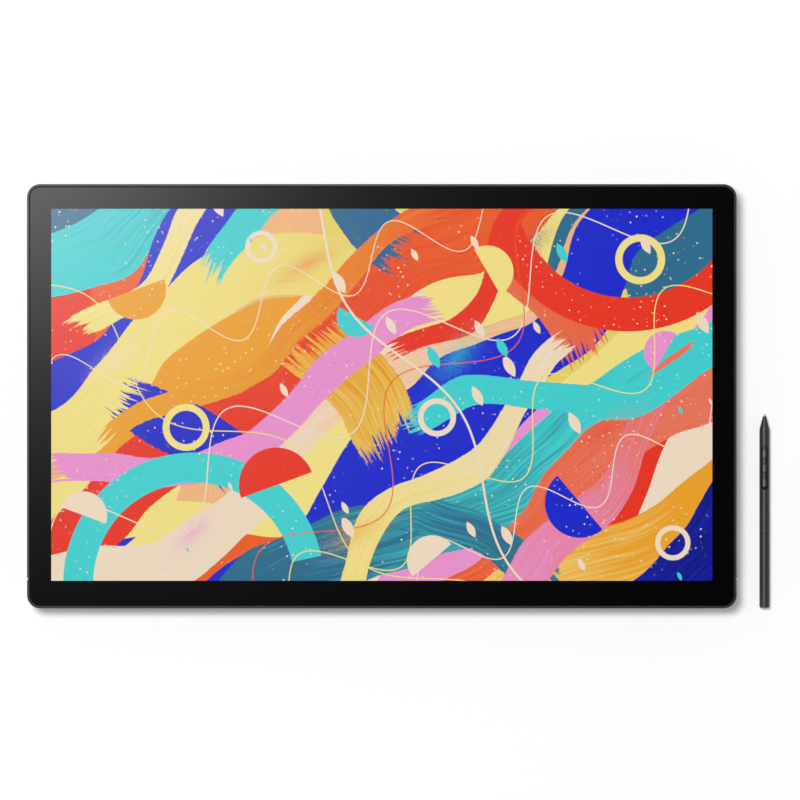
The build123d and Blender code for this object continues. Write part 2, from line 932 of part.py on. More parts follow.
def socket_openings(gap):
    """The holes for the three sockets in the bay's inner wall, grown by gap."""
    low_y = bay_low_y - bay_wall - overrun
    high_y = bay_low_y + overrun
    hdmi_z = board_low_z - hdmi_height / 2
    usb_z = board_low_z - usb_height / 2
    holes = slab(
        hdmi_x - hdmi_width / 2 - gap,
        hdmi_x + hdmi_width / 2 + gap,
        low_y,
        high_y,
        hdmi_z - hdmi_height / 2 - gap,
        hdmi_z + hdmi_height / 2 + gap,
    )
    for x in usb_places:
        outline = Plane.XZ * SlotOverall(usb_width + 2 * gap, usb_height + 2 * gap)
        holes += Pos(x, high_y, usb_z) * extrude(outline, high_y - low_y)
    return holes


def rear_cover():
    """The moulded back: bevelled shell, leg pockets, cable bay, screw bosses, ribs and foot recesses."""
    low_corner = corner_radius + underside_corner_growth
    cover = bevelled_back(bevel_run, 0, back_z, parting_z, low_corner, corner_radius)
    cover = fillet(cover.faces().sort_by(Axis.Z)[0].edges(), underside_blend)
    cover -= bevelled_back(
        bevel_run + cover_wall * math.tan(bevel_angle / 2),
        cover_wall / math.sin(bevel_angle),
        cover_floor_z,
        parting_z,
        low_corner - cover_wall,
        corner_radius - cover_wall,
    )
    lip_inset = rim_width + fit_gap
    cover += tablet_plate(lip_inset, parting_z, parting_z + lip_height) - tablet_plate(
        lip_inset + lip_wall, parting_z, parting_z + lip_height
    )
    cover += cover_ribs()
    for x, y in cover_screws:
        cover += post(x, y, cover_floor_z, cover_boss_high_z, cover_boss_radius)
        cover -= post(x, y, back_z, cover_boss_high_z, screw_radius + fit_gap)
        head_room = screw_recess + screw_head_height
        cover -= post(x, y, back_z, back_z + head_room, screw_head_radius + fit_gap)
    for x, y in vesa_places:
        cover += post(x, y, cover_floor_z, cover_boss_high_z, vesa_post_radius + fit_gap + vesa_boss_wall)
        cover -= post(x, y, back_z, cover_boss_high_z, vesa_post_radius + fit_gap)
    for x in leg_places:
        cover += leg_pocket(x, pocket_wall, cover_floor_z, pocket_roof_z + pocket_wall)
        cover -= leg_pocket(x, 0, back_z, pocket_roof_z)
        cover -= bracket_window(x)
    cover += bay_block()
    cover -= bay_space()
    cover -= socket_openings(fit_gap)
    for side in (-1, 1):
        cover -= plate(vent_length, vent_width, vent_corner, back_z, cover_floor_z, x=side * vent_x, y=vent_y)
    for x, y, length in foot_places():
        cover -= plate(length, foot_width, foot_corner, back_z, back_z + foot_recess, x=x, y=y)
    return cover


def bracket_window(x):
    """The opening in a pocket's roof that the hinge bracket reaches through."""
    half = leg_width / 2 + fit_gap
    return slab(
        x - half,
        x + half,
        hinge_y - bracket_length / 2 - fit_gap,
        pocket_high_y,
        pocket_roof_z - overrun,
        pocket_roof_z + pocket_wall,
    )


def bay_block():
    """The walls and roof round the cable bay."""
    half = bay_width / 2 + bay_wall
    return slab(-half, half, bay_low_y - bay_wall, bay_high_y, cover_floor_z, bay_roof_z + bay_roof_wall)


def bay_space():
    """The open space of the cable bay, which runs out under the rear edge."""
    half = bay_width / 2
    space = slab(-half, half, bay_low_y, bay_high_y, back_z, bay_roof_z)
    mouth = slab(-half, half, bay_high_y - overrun, half_height, back_z, parting_z)
    upper = space.edges().filter_by(Axis.Y).sort_by(Axis.Z)[-2:]
    return fillet(upper, bay_corner) + mouth


def vent_grilles():
    """Two slotted inserts in the rear cover."""
    pieces = []
    for side in (-1, 1):
        x = side * vent_x
        length = vent_length - 2 * fit_gap
        grille = plate(length, vent_width - 2 * fit_gap, vent_corner, back_z, cover_floor_z, x=x, y=vent_y)
        flange = plate(
            vent_length + 2 * vent_flange,
            vent_width + 2 * vent_flange,
            vent_corner,
            cover_floor_z,
            cover_floor_z + vent_flange_sheet,
            x=x,
            y=vent_y,
        )
        grille += flange
        pitch = length / (vent_count + 1)
        slot_half = vent_width / 2 - vent_flange
        for index in range(vent_count):
            slot_x = x - length / 2 + pitch * (index + 1)
            grille -= slab(
                slot_x - vent_slot / 2,
                slot_x + vent_slot / 2,
                vent_y - slot_half,
                vent_y + slot_half,
                back_z - overrun,
                cover_floor_z + overrun,
            )
        pieces.append(grille)
    return group(pieces)


def rubber_feet():
    """Four rubber feet, glued into shallow recesses."""
    pieces = []
    for x, y, length in foot_places():
        foot = plate(
            length - 2 * fit_gap,
            foot_width - 2 * fit_gap,
            foot_corner - fit_gap,
            0,
            back_z + foot_recess,
            x=x,
            y=y,
        )
        pieces.append(chamfer(foot.faces().sort_by(Axis.Z)[0].edges(), foot_edge))
    return group(pieces)


def vesa_posts():
    """Four threaded posts for an arm or stand, seated on the chassis."""
    pieces = []
    for x, y in vesa_places:
        low_z = back_z + vesa_setback
        body = post(x, y, low_z, chassis_low_z, vesa_post_radius)
        pieces.append(body - post(x, y, low_z, low_z + vesa_thread_depth, vesa_thread_radius))
    return group(pieces)


def cover_screw_set():
    """The screws that hold the rear cover to the chassis posts."""
    head_z = back_z + screw_recess
    length = cover_boss_high_z - head_z - screw_head_height + screw_thread_length - socket_depth
    return group(
        [
            screw(
                x,
                y,
                head_z,
                length,
                screw_radius,
                screw_head_radius,
                screw_head_height,
                socket_radius,
                socket_depth,
            )
            for x, y in cover_screws
        ]
    )


def small_screw(x, y, z_head, length):
    """One of the small inner screws."""
    return screw(
        x,
        y,
        z_head,
        length,
        small_screw_radius,
        small_screw_head_radius,
        small_screw_head_height,
        small_socket_radius,
        small_socket_depth,
    )


def chassis_screw_set():
    """The screws that hold the chassis to the front frame."""
    length = chassis_sheet + small_screw_grip
    head_z = chassis_low_z - small_screw_head_height
    places = frame_screws_top + frame_screws_bottom + frame_screws_side
    return group([small_screw(x, y, head_z, length) for x, y in places])


def hinge_screw_set():
    """The screws that hold the hinge brackets to the chassis."""
    head_z = chassis_low_z - bracket_sheet - small_screw_head_height
    return group([small_screw(x, y, head_z, bracket_sheet + chassis_sheet) for x, y in bracket_screws])


def board_screw_set():
    """The screws of both circuit boards."""
    main = [
        small_screw(x, y, board_low_z - small_screw_head_height, board_sheet + board_standoff)
        for x, y in main_board_holes
    ]
    control_low_z = board_high_z - control_board_sheet
    control = [
        small_screw(x, y, control_low_z - small_screw_head_height, control_board_sheet + board_standoff)
        for x, y in control_board_holes
    ]
    return group(main + control)


# Electronics


def drilled_board(x, y, width, length, z_low, z_high, holes):
    """A circuit board with its mounting holes."""
    board = plate(width, length, fit_gap, z_low, z_high, x=x, y=y)
    for hole_x, hole_y in holes:
        board -= post(hole_x, hole_y, z_low - overrun, z_high + overrun, small_screw_radius + running_gap)
    return board


def main_board():
    """The main circuit board, with its ribbon connector on the upper side."""
    board = drilled_board(
        0, main_board_y, main_board_width, main_board_length, board_low_z, board_high_z, main_board_holes
    )
    connector = slab(
        panel_ribbon_x - panel_ribbon_width / 2 - fit_gap,
        panel_ribbon_x + panel_ribbon_width / 2 + fit_gap,
        main_board_low_y,
        main_board_low_y + connector_length,
        board_high_z,
        board_high_z + connector_height,
    )
    return board + connector


def control_board():
    """The small board that drives the sensing loops, with its ribbon connector."""
    board = drilled_board(
        control_board_x,
        control_board_y,
        control_board_width,
        control_board_length,
        board_high_z - control_board_sheet,
        board_high_z,
        control_board_holes,
    )
    low_y = control_board_y - control_board_length / 2
    connector = slab(
        sensor_ribbon_x - sensor_ribbon_width / 2 - fit_gap,
        sensor_ribbon_x + sensor_ribbon_width / 2 + fit_gap,
        low_y,
        low_y + connector_length,
        board_high_z,
        board_high_z + connector_height,
    )
    return board + connector


def ribbon(x, width, start_y, start_z, turn_y, end_y):
    """A flat ribbon from above the chassis, down through its window and back along the underside."""
    low_z = board_high_z + connector_height / 2
    path = FilletPolyline(
        [(start_y, start_z), (turn_y, start_z), (turn_y, low_z), (end_y, low_z)], radius=ribbon_bend
    )
    profile = Plane.YZ * trace(path, ribbon_sheet)
    return Pos(x, 0, 0) * extrude(profile, width / 2, both=True)


def panel_ribbon():
    """The display's ribbon, from the driver board to the main board."""
    start_y = (source_board_low_y + source_board_high_y) / 2
    start_z = chassis_high_z + source_board_sheet + ribbon_sheet / 2
    return ribbon(
        panel_ribbon_x, panel_ribbon_width, start_y, start_z, panel_ribbon_turn_y, main_board_low_y
    )


def sensor_ribbon():
    """The ribbon from the sensing board to its control board."""
    start_y = tray_low_y + sensor_margin
    start_z = sensor_high_z - sensor_sheet / 2
    end_y = control_board_y - control_board_length / 2
    return ribbon(
        sensor_ribbon_x, sensor_ribbon_width, start_y, start_z, sensor_ribbon_turn_y, end_y
    )


def board_parts():
    """Chips and coils on both boards' undersides."""
    pieces = []
    for x, y, side in main_chip_plan:
        pieces.append(chip(x, main_board_y + y, side, board_low_z))
    for x, y, radius in main_coil_plan:
        pieces.append(post(x, main_board_y + y, board_low_z - coil_height, board_low_z, radius))
    for x, y, side in control_chip_plan:
        low_z = board_high_z - control_board_sheet
        pieces.append(chip(control_board_x + x, control_board_y + y, side, low_z))
    return group(pieces)


def chip(x, y, side, face_z):
    """A square chip under a board whose underside is at face_z."""
    half = side / 2
    return slab(x - half, x + half, y - half, y + half, face_z - chip_height, face_z)


def heat_spreader():
    """The finned aluminium plate over the main chips, on four legs."""
    top_z = board_low_z - chip_height - pad_sheet
    low_z = top_z - spreader_sheet
    body = plate(spreader_width, spreader_length, spreader_leg_radius, low_z, top_z, y=main_board_y)
    pitch = spreader_length / (fin_count + 1)
    for index in range(fin_count):
        y = main_board_y - spreader_length / 2 + pitch * (index + 1)
        half = spreader_width / 2 - spreader_leg_radius
        body += slab(-half, half, y - fin_wall / 2, y + fin_wall / 2, low_z - fin_height, low_z)
    for x_side in (-1, 1):
        for y_side in (-1, 1):
            x = x_side * (spreader_width / 2 - spreader_leg_inset)
            y = main_board_y + y_side * (spreader_length / 2 - spreader_leg_inset)
            body += post(x, y, top_z, board_low_z, spreader_leg_radius)
    return body


def thermal_pads():
    """The soft pads between the warmest chips and the heat spreader."""
    high_z = board_low_z - chip_height
    pieces = []
    for index in padded_chips:
        x, y, side = main_chip_plan[index]
        half = side / 2
        pad_y = main_board_y + y
        pieces.append(slab(x - half, x + half, pad_y - half, pad_y + half, high_z - pad_sheet, high_z))
    return group(pieces)


def hdmi_socket():
    """The video socket, a metal shell with a tongue in its mouth."""
    front_y = bay_low_y - socket_rim
    centre_z = board_low_z - hdmi_height / 2
    half = hdmi_width / 2
    body = slab(
        hdmi_x - half, hdmi_x + half, front_y - hdmi_depth, front_y, board_low_z - hdmi_height, board_low_z
    )
    mouth = Plane.XZ * Trapezoid(
        hdmi_width - 2 * socket_shell, hdmi_height - 2 * socket_shell, hdmi_side_angle
    )
    body -= Pos(hdmi_x, front_y, centre_z) * extrude(mouth, socket_cavity)
    tongue = slab(
        hdmi_x - hdmi_tongue_width / 2,
        hdmi_x + hdmi_tongue_width / 2,
        front_y - socket_cavity,
        front_y - socket_shell,
        centre_z - hdmi_tongue_sheet / 2,
        centre_z + hdmi_tongue_sheet / 2,
    )
    return body + tongue


def usb_sockets():
    """Two oval sockets for data, picture and power."""
    front_y = bay_low_y - socket_rim
    centre_z = board_low_z - usb_height / 2
    pieces = []
    for x in usb_places:
        shell = extrude(Plane.XZ * SlotOverall(usb_width, usb_height), socket_cavity + 2 * socket_shell)
        mouth = extrude(
            Plane.XZ * SlotOverall(usb_width - 2 * socket_shell, usb_height - 2 * socket_shell), socket_cavity
        )
        tongue = slab(
            -usb_tongue_width / 2,
            usb_tongue_width / 2,
            -socket_cavity,
            -2 * socket_shell,
            -usb_tongue_sheet / 2,
            usb_tongue_sheet / 2,
        )
        pieces.append(Pos(x, front_y, centre_z) * (shell - mouth + tongue))
    return group(pieces)


# Power button, light and lock


def power_button():
    """The power button, flush in the rear edge, with its flange and stem behind the wall."""
    cap = pill_along_y(button_length, button_height, rim_width + button_flange_sheet, back=-button_proud)
    flange = pill_along_y(
        button_length + 2 * button_flange,
        button_height + button_flange,
        button_flange_sheet,
        back=rim_width,
    )
    stem_y = half_height - rim_width - button_flange_sheet
    stem = slab(
        button_x - button_stem_length / 2,
        button_x + button_stem_length / 2,
        stem_y - button_stem_reach,
        stem_y,
        channel_z - button_height / 2,
        channel_z + button_height / 2,
    )
    return cap + flange + stem


def switch_board():
    """The upright board behind the power button, with its switch."""
    face_y = switch_face_y()
    half = switch_board_length / 2
    board = slab(
        button_x - half,
        button_x + half,
        face_y - switch_board_sheet,
        face_y,
        ledge_low_z - switch_board_height,
        ledge_low_z,
    )
    switch = slab(
        button_x - switch_width / 2,
        button_x + switch_width / 2,
        face_y,
        face_y + switch_depth,
        channel_z - switch_height / 2,
        channel_z + switch_height / 2,
    )
    return board + switch


def status_light():
    """The light pipe beside the power button."""
    return rod_y(button_x - light_offset, switch_face_y() + fit_gap, half_height, channel_z, light_radius)


def lock_plate():
    """The steel plate behind the lock slot."""
    inner_x = rim_width - half_width
    half = lock_plate_length / 2
    body = slab(
        inner_x,
        inner_x + lock_plate_sheet,
        lock_y - half,
        lock_y + half,
        channel_z - lock_plate_height / 2,
        channel_z + lock_plate_height / 2,
    )
    slot = slab(
        inner_x,
        inner_x + lock_plate_sheet,
        lock_y - lock_slot_length / 2,
        lock_y + lock_slot_length / 2,
        channel_z - lock_slot_height / 2,
        channel_z + lock_slot_height / 2,
    )
    return body - slot


# Folding legs


def leg(x):
    """A folding leg: smooth outside, ribbed inside, with a round knuckle on the hinge pin."""
    body = extrude(Pos(x, 0, leg_low_z) * leg_outline(0), leg_thickness)
    body &= slab(
        x - leg_width, x + leg_width, leg_end_y, shoulder_y, leg_low_z, leg_high_z
    )
    body = chamfer(body.faces().sort_by(Axis.Z)[0].edges().sort_by(Axis.Y)[1:], leg_edge)
    half = leg_tip_width / 2 - leg_wall
    well = slab(
        x - half,
        x + half,
        leg_end_y + leg_wall + leg_tip_tongue,
        shoulder_y - leg_wall,
        leg_low_z + leg_skin,
        leg_high_z,
    )
    low_y = leg_end_y + leg_wall + leg_tip_tongue
    pitch = (shoulder_y - leg_wall - low_y) / (leg_rib_count + 1)
    for index in range(leg_rib_count):
        y = low_y + pitch * (index + 1)
        well -= slab(x - half, x + half, y - leg_rib_wall / 2, y + leg_rib_wall / 2, leg_low_z, leg_high_z)
    well -= slab(x - leg_rib_wall / 2, x + leg_rib_wall / 2, leg_end_y, shoulder_y, leg_low_z, leg_high_z)
    body -= well
    knuckle_half = knuckle_width / 2
    neck = slab(x - knuckle_half, x + knuckle_half, shoulder_y, hinge_y, leg_low_z, leg_high_z)
    body += neck + rod_x(x - knuckle_half, x + knuckle_half, hinge_y, pin_z, knuckle_radius)
    body -= rod_x(x - leg_width, x + leg_width, hinge_y, pin_z, pin_radius + running_gap)
    return body - tip_tongue(x, fit_gap)


def tip_tongue(x, gap):
    """The tongue that keys a rubber tip into its leg, grown by gap."""
    half = leg_tip_tongue_width / 2 + gap
    return slab(
        x - half,
        x + half,
        leg_end_y,
        leg_end_y + leg_tip_tongue + gap,
        pin_z - leg_tip_tongue_height / 2 - gap,
        pin_z + leg_tip_tongue_height / 2 + gap,
    )


def leg_tip(x):
    """The rubber tip at a leg's free end."""
    tip = extrude(Pos(x, 0, leg_low_z) * leg_outline(0), leg_thickness)
    tip &= slab(x - leg_width, x + leg_width, leg_tip_y, leg_end_y, leg_low_z, leg_high_z)
    ends = tip.edges().filter_by(Axis.X).sort_by(Axis.Y)[:2]
    tip = fillet(ends, leg_tip_length / 2)
    return tip + tip_tongue(x, 0)


def hinge_brackets():
    """Two steel brackets under the chassis, each with two ears that hold a leg's pin."""
    pieces = []
    for x in leg_places:
        half = leg_width / 2
        reach = half + bracket_flange
        high_y = hinge_y + bracket_length / 2
        low_y = hinge_y - bracket_length / 2
        base = slab(x - reach, x + reach, low_y, high_y, chassis_low_z - bracket_sheet, chassis_low_z)
        for screw_x, screw_y in bracket_screws:
            base -= post(screw_x, screw_y, chassis_low_z - overrun, chassis_low_z, small_screw_radius + running_gap)
        for side in (-1, 1):
            outer = x + side * half
            inner = outer - side * ear_sheet
            x_low, x_high = min(outer, inner), max(outer, inner)
            ear = slab(
                x_low, x_high, hinge_y - ear_radius, hinge_y + ear_radius, pin_z, chassis_low_z - bracket_sheet
            )
            ear += rod_x(x_low, x_high, hinge_y, pin_z, ear_radius)
            base += ear
        base -= rod_x(x - leg_width, x + leg_width, hinge_y, pin_z, pin_radius)
        pieces.append(base)
    return group(pieces)


def hinge_pins():
    """The two leg pins, held in the bracket ears."""
    half = leg_width / 2
    return group([rod_x(x - half, x + half, hinge_y, pin_z, pin_radius) for x in leg_places])


def friction_washers():
    """The washers between knuckle and ears that hold a leg where it is put."""
    pieces = []
    for x in leg_places:
        for side in (-1, 1):
            outer = x + side * (leg_width / 2 - ear_sheet - running_gap)
            inner = outer - side * washer_sheet
            x_low, x_high = min(outer, inner), max(outer, inner)
            ring = rod_x(x_low, x_high, hinge_y, pin_z, washer_radius)
            pieces.append(ring - rod_x(x_low, x_high, hinge_y, pin_z, pin_radius + running_gap))
    return group(pieces)


# Pen: it lies along Y with its tip away from the user. s is the distance from the nib's tip.


def pen_y(s):
    """The place along Y of a point s from the nib's tip."""
    return pen_tip_y - s


def turned(points):
    """A solid of revolution about the pen's axis, from points of distance from the tip and radius."""
    outline = make_face(Polyline([(r, pen_y(s)) for s, r in points], close=True))
    return Pos(pen_x, 0, pen_radius) * revolve(outline, Axis.Y)


def slot_prism(start, length, width, gap=0):
    """An upright prism with rounded ends over the pen, from start along it, grown by gap."""
    outline = SlotOverall(length + 2 * gap, width + 2 * gap, rotation=90)
    middle = pen_y(start + length / 2)
    return extrude(Pos(pen_x, middle, pen_radius) * outline, 2 * pen_radius)


def nib():
    """The nib, with its rounded tip."""
    end = pressure_sensor_start() + nib_seat_depth
    rod = turned([(0, 0), (0, nib_radius), (end, nib_radius), (end, 0)])
    front = rod.edges().filter_by(GeomType.CIRCLE).sort_by(Axis.Y)[-1:]
    return fillet(front, nib_radius * nib_rounding_share)


def pen_nose():
    """The cone at the pen's front, with the nib's hole and a spigot into the grip."""
    start = nib_reach
    end = nose_end()
    bore = nib_radius + nib_bore_gap
    inner = pen_bore - pen_fit
    cone = turned(
        [
            (start, bore),
            (start, nose_end_radius - nose_rounding),
            (start + nose_rounding, nose_end_radius),
            (end, nose_shoulder_radius),
            (end, inner),
            (end + nose_spigot_length, inner),
            (end + nose_spigot_length, core_radius + pen_fit),
            (end - coil_gap, core_radius + pen_fit),
            (end - nose_length / 3, bore),
        ]
    )
    return cone


def pen_grip():
    """The front barrel, with the slot for the keys."""
    start = nose_end()
    barrel = turned(
        [
            (start, pen_bore),
            (start, nose_shoulder_radius),
            (start + flare_length, pen_radius),
            (pen_seam - seam_chamfer, pen_radius),
            (pen_seam, pen_radius - seam_chamfer),
            (pen_seam, pen_bore),
        ]
    )
    return barrel - slot_prism(slot_start, slot_length, slot_width)


def key_starts():
    """Where each of the three keys begins."""
    first = slot_start + key_end_margin
    pitch = (slot_length - key_length - 2 * key_end_margin) / 2
    return [first, first + pitch, first + 2 * pitch]


def key_panel():
    """The panel in the grip's slot, with a sunk step round it, a crescent behind, three openings and two ridges."""
    high_z = pen_radius + panel_seat + panel_step
    base = slot_prism(slot_start, slot_length, slot_width, gap=-pen_fit)
    base &= slab(
        pen_x - pen_radius,
        pen_x + pen_radius,
        pen_y(slot_end),
        pen_y(slot_start),
        pen_radius + panel_seat,
        high_z,
    )
    base &= turned([(slot_start, 0), (slot_start, pen_bore), (slot_end, pen_bore), (slot_end, 0)])
    top_end = slot_end - panel_crescent
    panel = slot_prism(slot_start, slot_length - panel_crescent, slot_width, gap=-panel_groove)
    panel &= turned(
        [
            (slot_start, 0),
            (slot_start, pen_radius + panel_proud),
            (top_end, pen_radius + panel_proud),
            (top_end, 0),
        ]
    )
    panel &= slab(
        pen_x - pen_radius,
        pen_x + pen_radius,
        pen_y(slot_end),
        pen_y(slot_start),
        pen_radius + panel_seat,
        3 * pen_radius,
    )
    panel += base
    starts = key_starts()
    for s in starts:
        panel -= slot_prism(s, key_length, key_width, gap=key_gap)
    ridge_high = pen_radius + ridge_proud
    for first, second in zip(starts, starts[1:]):
        middle = (first + key_length + second) / 2
        low, high = middle - ridge_length / 2 + key_gap, middle + ridge_length / 2 - key_gap
        ridge = turned([(low, pen_bore), (low, ridge_high), (high, ridge_high), (high, pen_bore)])
        ridge_top = pen_radius + ridge_high
        panel += ridge & plate(
            ridge_width, high - low, fit_gap, pen_radius, ridge_top, x=pen_x, y=pen_y(middle)
        )
    return panel


def pen_key(start):
    """One key: a crowned pill with a flange under the panel and a plunger over its switch."""
    end = start + key_length
    high = pen_radius + key_proud
    middle = pen_y(start + key_length / 2)
    flange_high_z = pen_radius + panel_seat - key_flange_gap
    flange_low_z = flange_high_z - key_flange_sheet
    dome_top_z = pen_radius + pen_board_sheet / 2 + dome_height
    cap = slot_prism(start, key_length, key_width)
    cap &= turned([(start, 0), (start, high), (end, high), (end, 0)])
    cap &= slab(
        pen_x - key_width, pen_x + key_width, pen_y(end), pen_y(start), flange_high_z, 3 * pen_radius
    )
    flange = plate(
        key_width + 2 * key_flange, key_length, key_flange, flange_low_z, flange_high_z, x=pen_x, y=middle
    )
    plunger = slab(
        pen_x - key_plunger_width / 2,
        pen_x + key_plunger_width / 2,
        middle - key_plunger_length / 2,
        middle + key_plunger_length / 2,
        dome_top_z + key_travel + running_gap,
        flange_low_z,
    )
    return cap + flange + plunger


def pen_board():
    """The pen's circuit board with the three key switches on it."""
    half = pen_board_width / 2
    low_y = pen_y(board_end())
    high_y = pen_y(board_start())
    low_z = pen_radius - pen_board_sheet / 2
    high_z = pen_radius + pen_board_sheet / 2
    board = slab(pen_x - half, pen_x + half, low_y, high_y, low_z, high_z)
    for start in key_starts():
        middle = pen_y(start + key_length / 2)
        board += slab(
            pen_x - dome_width / 2,
            pen_x + dome_width / 2,
            middle - dome_length / 2,
            middle + dome_length / 2,
            high_z,
            high_z + dome_height,
        )
    return board


def nose_end():
    """Where the nose meets the grip."""
    return nib_reach + nose_length


def coil_start():
    """Where the coil begins, behind the nose's spigot."""
    return nose_end() + nose_spigot_length + coil_gap


def pressure_sensor_start():
    """Where the pressure sensor begins, behind the coil's core."""
    return coil_start() + coil_length + core_overhang + coil_gap


def board_start():
    """Where board and carrier begin, behind the pressure sensor."""
    return pressure_sensor_start() + pressure_sensor_length


def board_end():
    """Where board and carrier end, ahead of the rear barrel's spigot."""
    return pen_seam - spigot_length - board_gap


def coil_core():
    """The ferrite tube round the nib."""
    start = nose_end()
    end = coil_start() + coil_length + core_overhang
    return turned([(start, core_bore), (start, core_radius), (end, core_radius), (end, core_bore)])


def pen_coil():
    """The winding on the ferrite tube."""
    start = coil_start()
    end = start + coil_length
    return turned([(start, core_radius), (start, coil_radius), (end, coil_radius), (end, core_radius)])


def pressure_sensor():
    """The can that takes the nib's end and measures its pressure."""
    start = pressure_sensor_start()
    end = start + pressure_sensor_length
    socket_end = start + nib_seat_depth + nib_travel + fit_gap
    bore = nib_radius + nib_bore_gap
    return turned(
        [
            (start, bore),
            (start, pressure_sensor_radius),
            (end, pressure_sensor_radius),
            (end, 0),
            (socket_end, 0),
            (socket_end, bore),
        ]
    )


def pen_carrier():
    """The moulded half-round carrier under the board."""
    start = board_start()
    end = board_end()
    rod = turned([(start, 0), (start, carrier_radius), (end, carrier_radius), (end, 0)])
    low_z = pen_radius - carrier_radius
    lower = slab(
        pen_x - carrier_radius,
        pen_x + carrier_radius,
        pen_y(end),
        pen_y(start),
        low_z,
        pen_radius - pen_board_sheet / 2,
    )
    return rod & lower


def pen_weight():
    """The brass balance weight in the rear barrel."""
    start = pen_seam + board_gap
    end = start + weight_length
    return turned([(start, 0), (start, weight_radius), (end, weight_radius), (end, 0)])


def pen_rear_barrel():
    """The rear barrel: a closed tube with a spigot into the grip."""
    end = pen_length
    inner = pen_bore - pen_fit
    neck = pen_seam - spigot_length
    return turned(
        [
            (neck, weight_radius + pen_fit),
            (neck, inner),
            (pen_seam, inner),
            (pen_seam, pen_radius - seam_chamfer),
            (pen_seam + seam_chamfer, pen_radius),
            (end - pen_end_chamfer, pen_radius),
            (end, pen_radius - pen_end_chamfer),
            (end, 0),
            (end - pen_wall, 0),
            (end - pen_wall, weight_radius + pen_fit),
        ]
    )


def save(name, shape):
    """Writes one node, moved from the tablet's centre to the footprint's."""
    export_step(Pos(-footprint_x, 0, 0) * shape, f"parts/{name}.step")


os.makedirs("parts", exist_ok=True)
ring = frame_ring()
keys = key_starts()
nodes = {
    "cover_glass": cover_glass(),
    "border_print": border_print(),
    "bonding_layer": bonding_layer(),
    "lcd_cell": lcd_cell(),
    "diffuser_films": diffuser_films(),
    "light_guide": light_guide(),
    "back_reflector": back_reflector(),
    "led_strip": led_strip(),
    "panel_ring": panel_ring(),
    "panel_tray": panel_tray(),
    "source_board": source_board(),
    "driver_films": driver_films(),
    "sensor_board": sensor_board(),
    "sensor_shield": sensor_shield(),
    "chassis": chassis(),
    "upper_frame": upper_frame(ring),
    "lower_frame": lower_frame(ring),
    "glass_tape": glass_tape(),
    "rear_cover": rear_cover(),
    "vent_grilles": vent_grilles(),
    "rubber_feet": rubber_feet(),
    "vesa_posts": vesa_posts(),
    "cover_screws": cover_screw_set(),
    "chassis_screws": chassis_screw_set(),
    "board_screws": board_screw_set(),
    "main_board": main_board(),
    "control_board": control_board(),
    "board_parts": board_parts(),
    "thermal_pads": thermal_pads(),
    "heat_spreader": heat_spreader(),
    "panel_ribbon": panel_ribbon(),
    "sensor_ribbon": sensor_ribbon(),
    "hdmi_socket": hdmi_socket(),
    "usb_sockets": usb_sockets(),
    "power_button": power_button(),
    "switch_board": switch_board(),
    "status_light": status_light(),
    "lock_plate": lock_plate(),
    "leg_left": leg(leg_places[0]),
    "leg_right": leg(leg_places[1]),
    "leg_tip_left": leg_tip(leg_places[0]),
    "leg_tip_right": leg_tip(leg_places[1]),
    "hinge_brackets": hinge_brackets(),
    "hinge_pins": hinge_pins(),
    "friction_washers": friction_washers(),
    "hinge_screws": hinge_screw_set(),
    "nib": nib(),
    "pen_nose": pen_nose(),
    "pen_grip": pen_grip(),
    "key_panel": key_panel(),
    "pen_key_front": pen_key(keys[0]),
    "pen_key_middle": pen_key(keys[1]),
    "pen_key_rear": pen_key(keys[2]),
    "coil_core": coil_core(),
    "pen_coil": pen_coil(),
    "pressure_sensor": pressure_sensor(),
    "pen_board": pen_board(),
    "pen_carrier": pen_carrier(),
    "pen_weight": pen_weight(),
    "pen_rear_barrel": pen_rear_barrel(),
}
for name, shape in nodes.items():
    save(name, shape)
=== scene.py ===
import bpy
import json
import math
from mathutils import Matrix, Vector


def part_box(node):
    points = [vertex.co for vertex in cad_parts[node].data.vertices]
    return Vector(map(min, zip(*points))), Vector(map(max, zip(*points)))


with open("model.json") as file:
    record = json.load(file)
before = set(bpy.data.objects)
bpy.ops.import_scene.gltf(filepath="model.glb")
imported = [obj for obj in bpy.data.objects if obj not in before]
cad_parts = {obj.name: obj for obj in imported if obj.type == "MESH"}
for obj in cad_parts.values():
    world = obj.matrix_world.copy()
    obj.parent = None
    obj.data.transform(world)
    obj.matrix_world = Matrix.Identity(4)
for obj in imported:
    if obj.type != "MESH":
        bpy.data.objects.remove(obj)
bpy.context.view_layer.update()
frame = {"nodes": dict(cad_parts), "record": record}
nodes = frame["nodes"]

# Where the tablet stands in the frame
GLASS_LOW, GLASS_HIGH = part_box("cover_glass")
PANEL_LOW, PANEL_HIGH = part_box("lcd_cell")
TABLET_X = (GLASS_LOW.x + GLASS_HIGH.x) / 2
GLASS_TOP = GLASS_HIGH.z

# Half way up the pen's key panel: its sunk floor lies below, its outer faces above
KEY_PANEL_MIDDLE = (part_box("key_panel")[0].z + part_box("key_panel")[1].z) / 2

# The bounds that a noise seldom leaves
NOISE_LOW = 0.3
NOISE_HIGH = 0.7


def paint(red, green, blue):
    """A screen colour of 0 to 255 as the linear colour that the shaders take."""
    def linear(value):
        value = value / 255
        return value / 12.92 if value <= 0.04045 else ((value + 0.055) / 1.055) ** 2.4
    return (linear(red), linear(green), linear(blue), 1.0)


def shade(colour, amount):
    """A colour made darker or lighter by a factor, up to white."""
    return [min(1.0, channel * amount) for channel in colour[:3]] + [1.0]


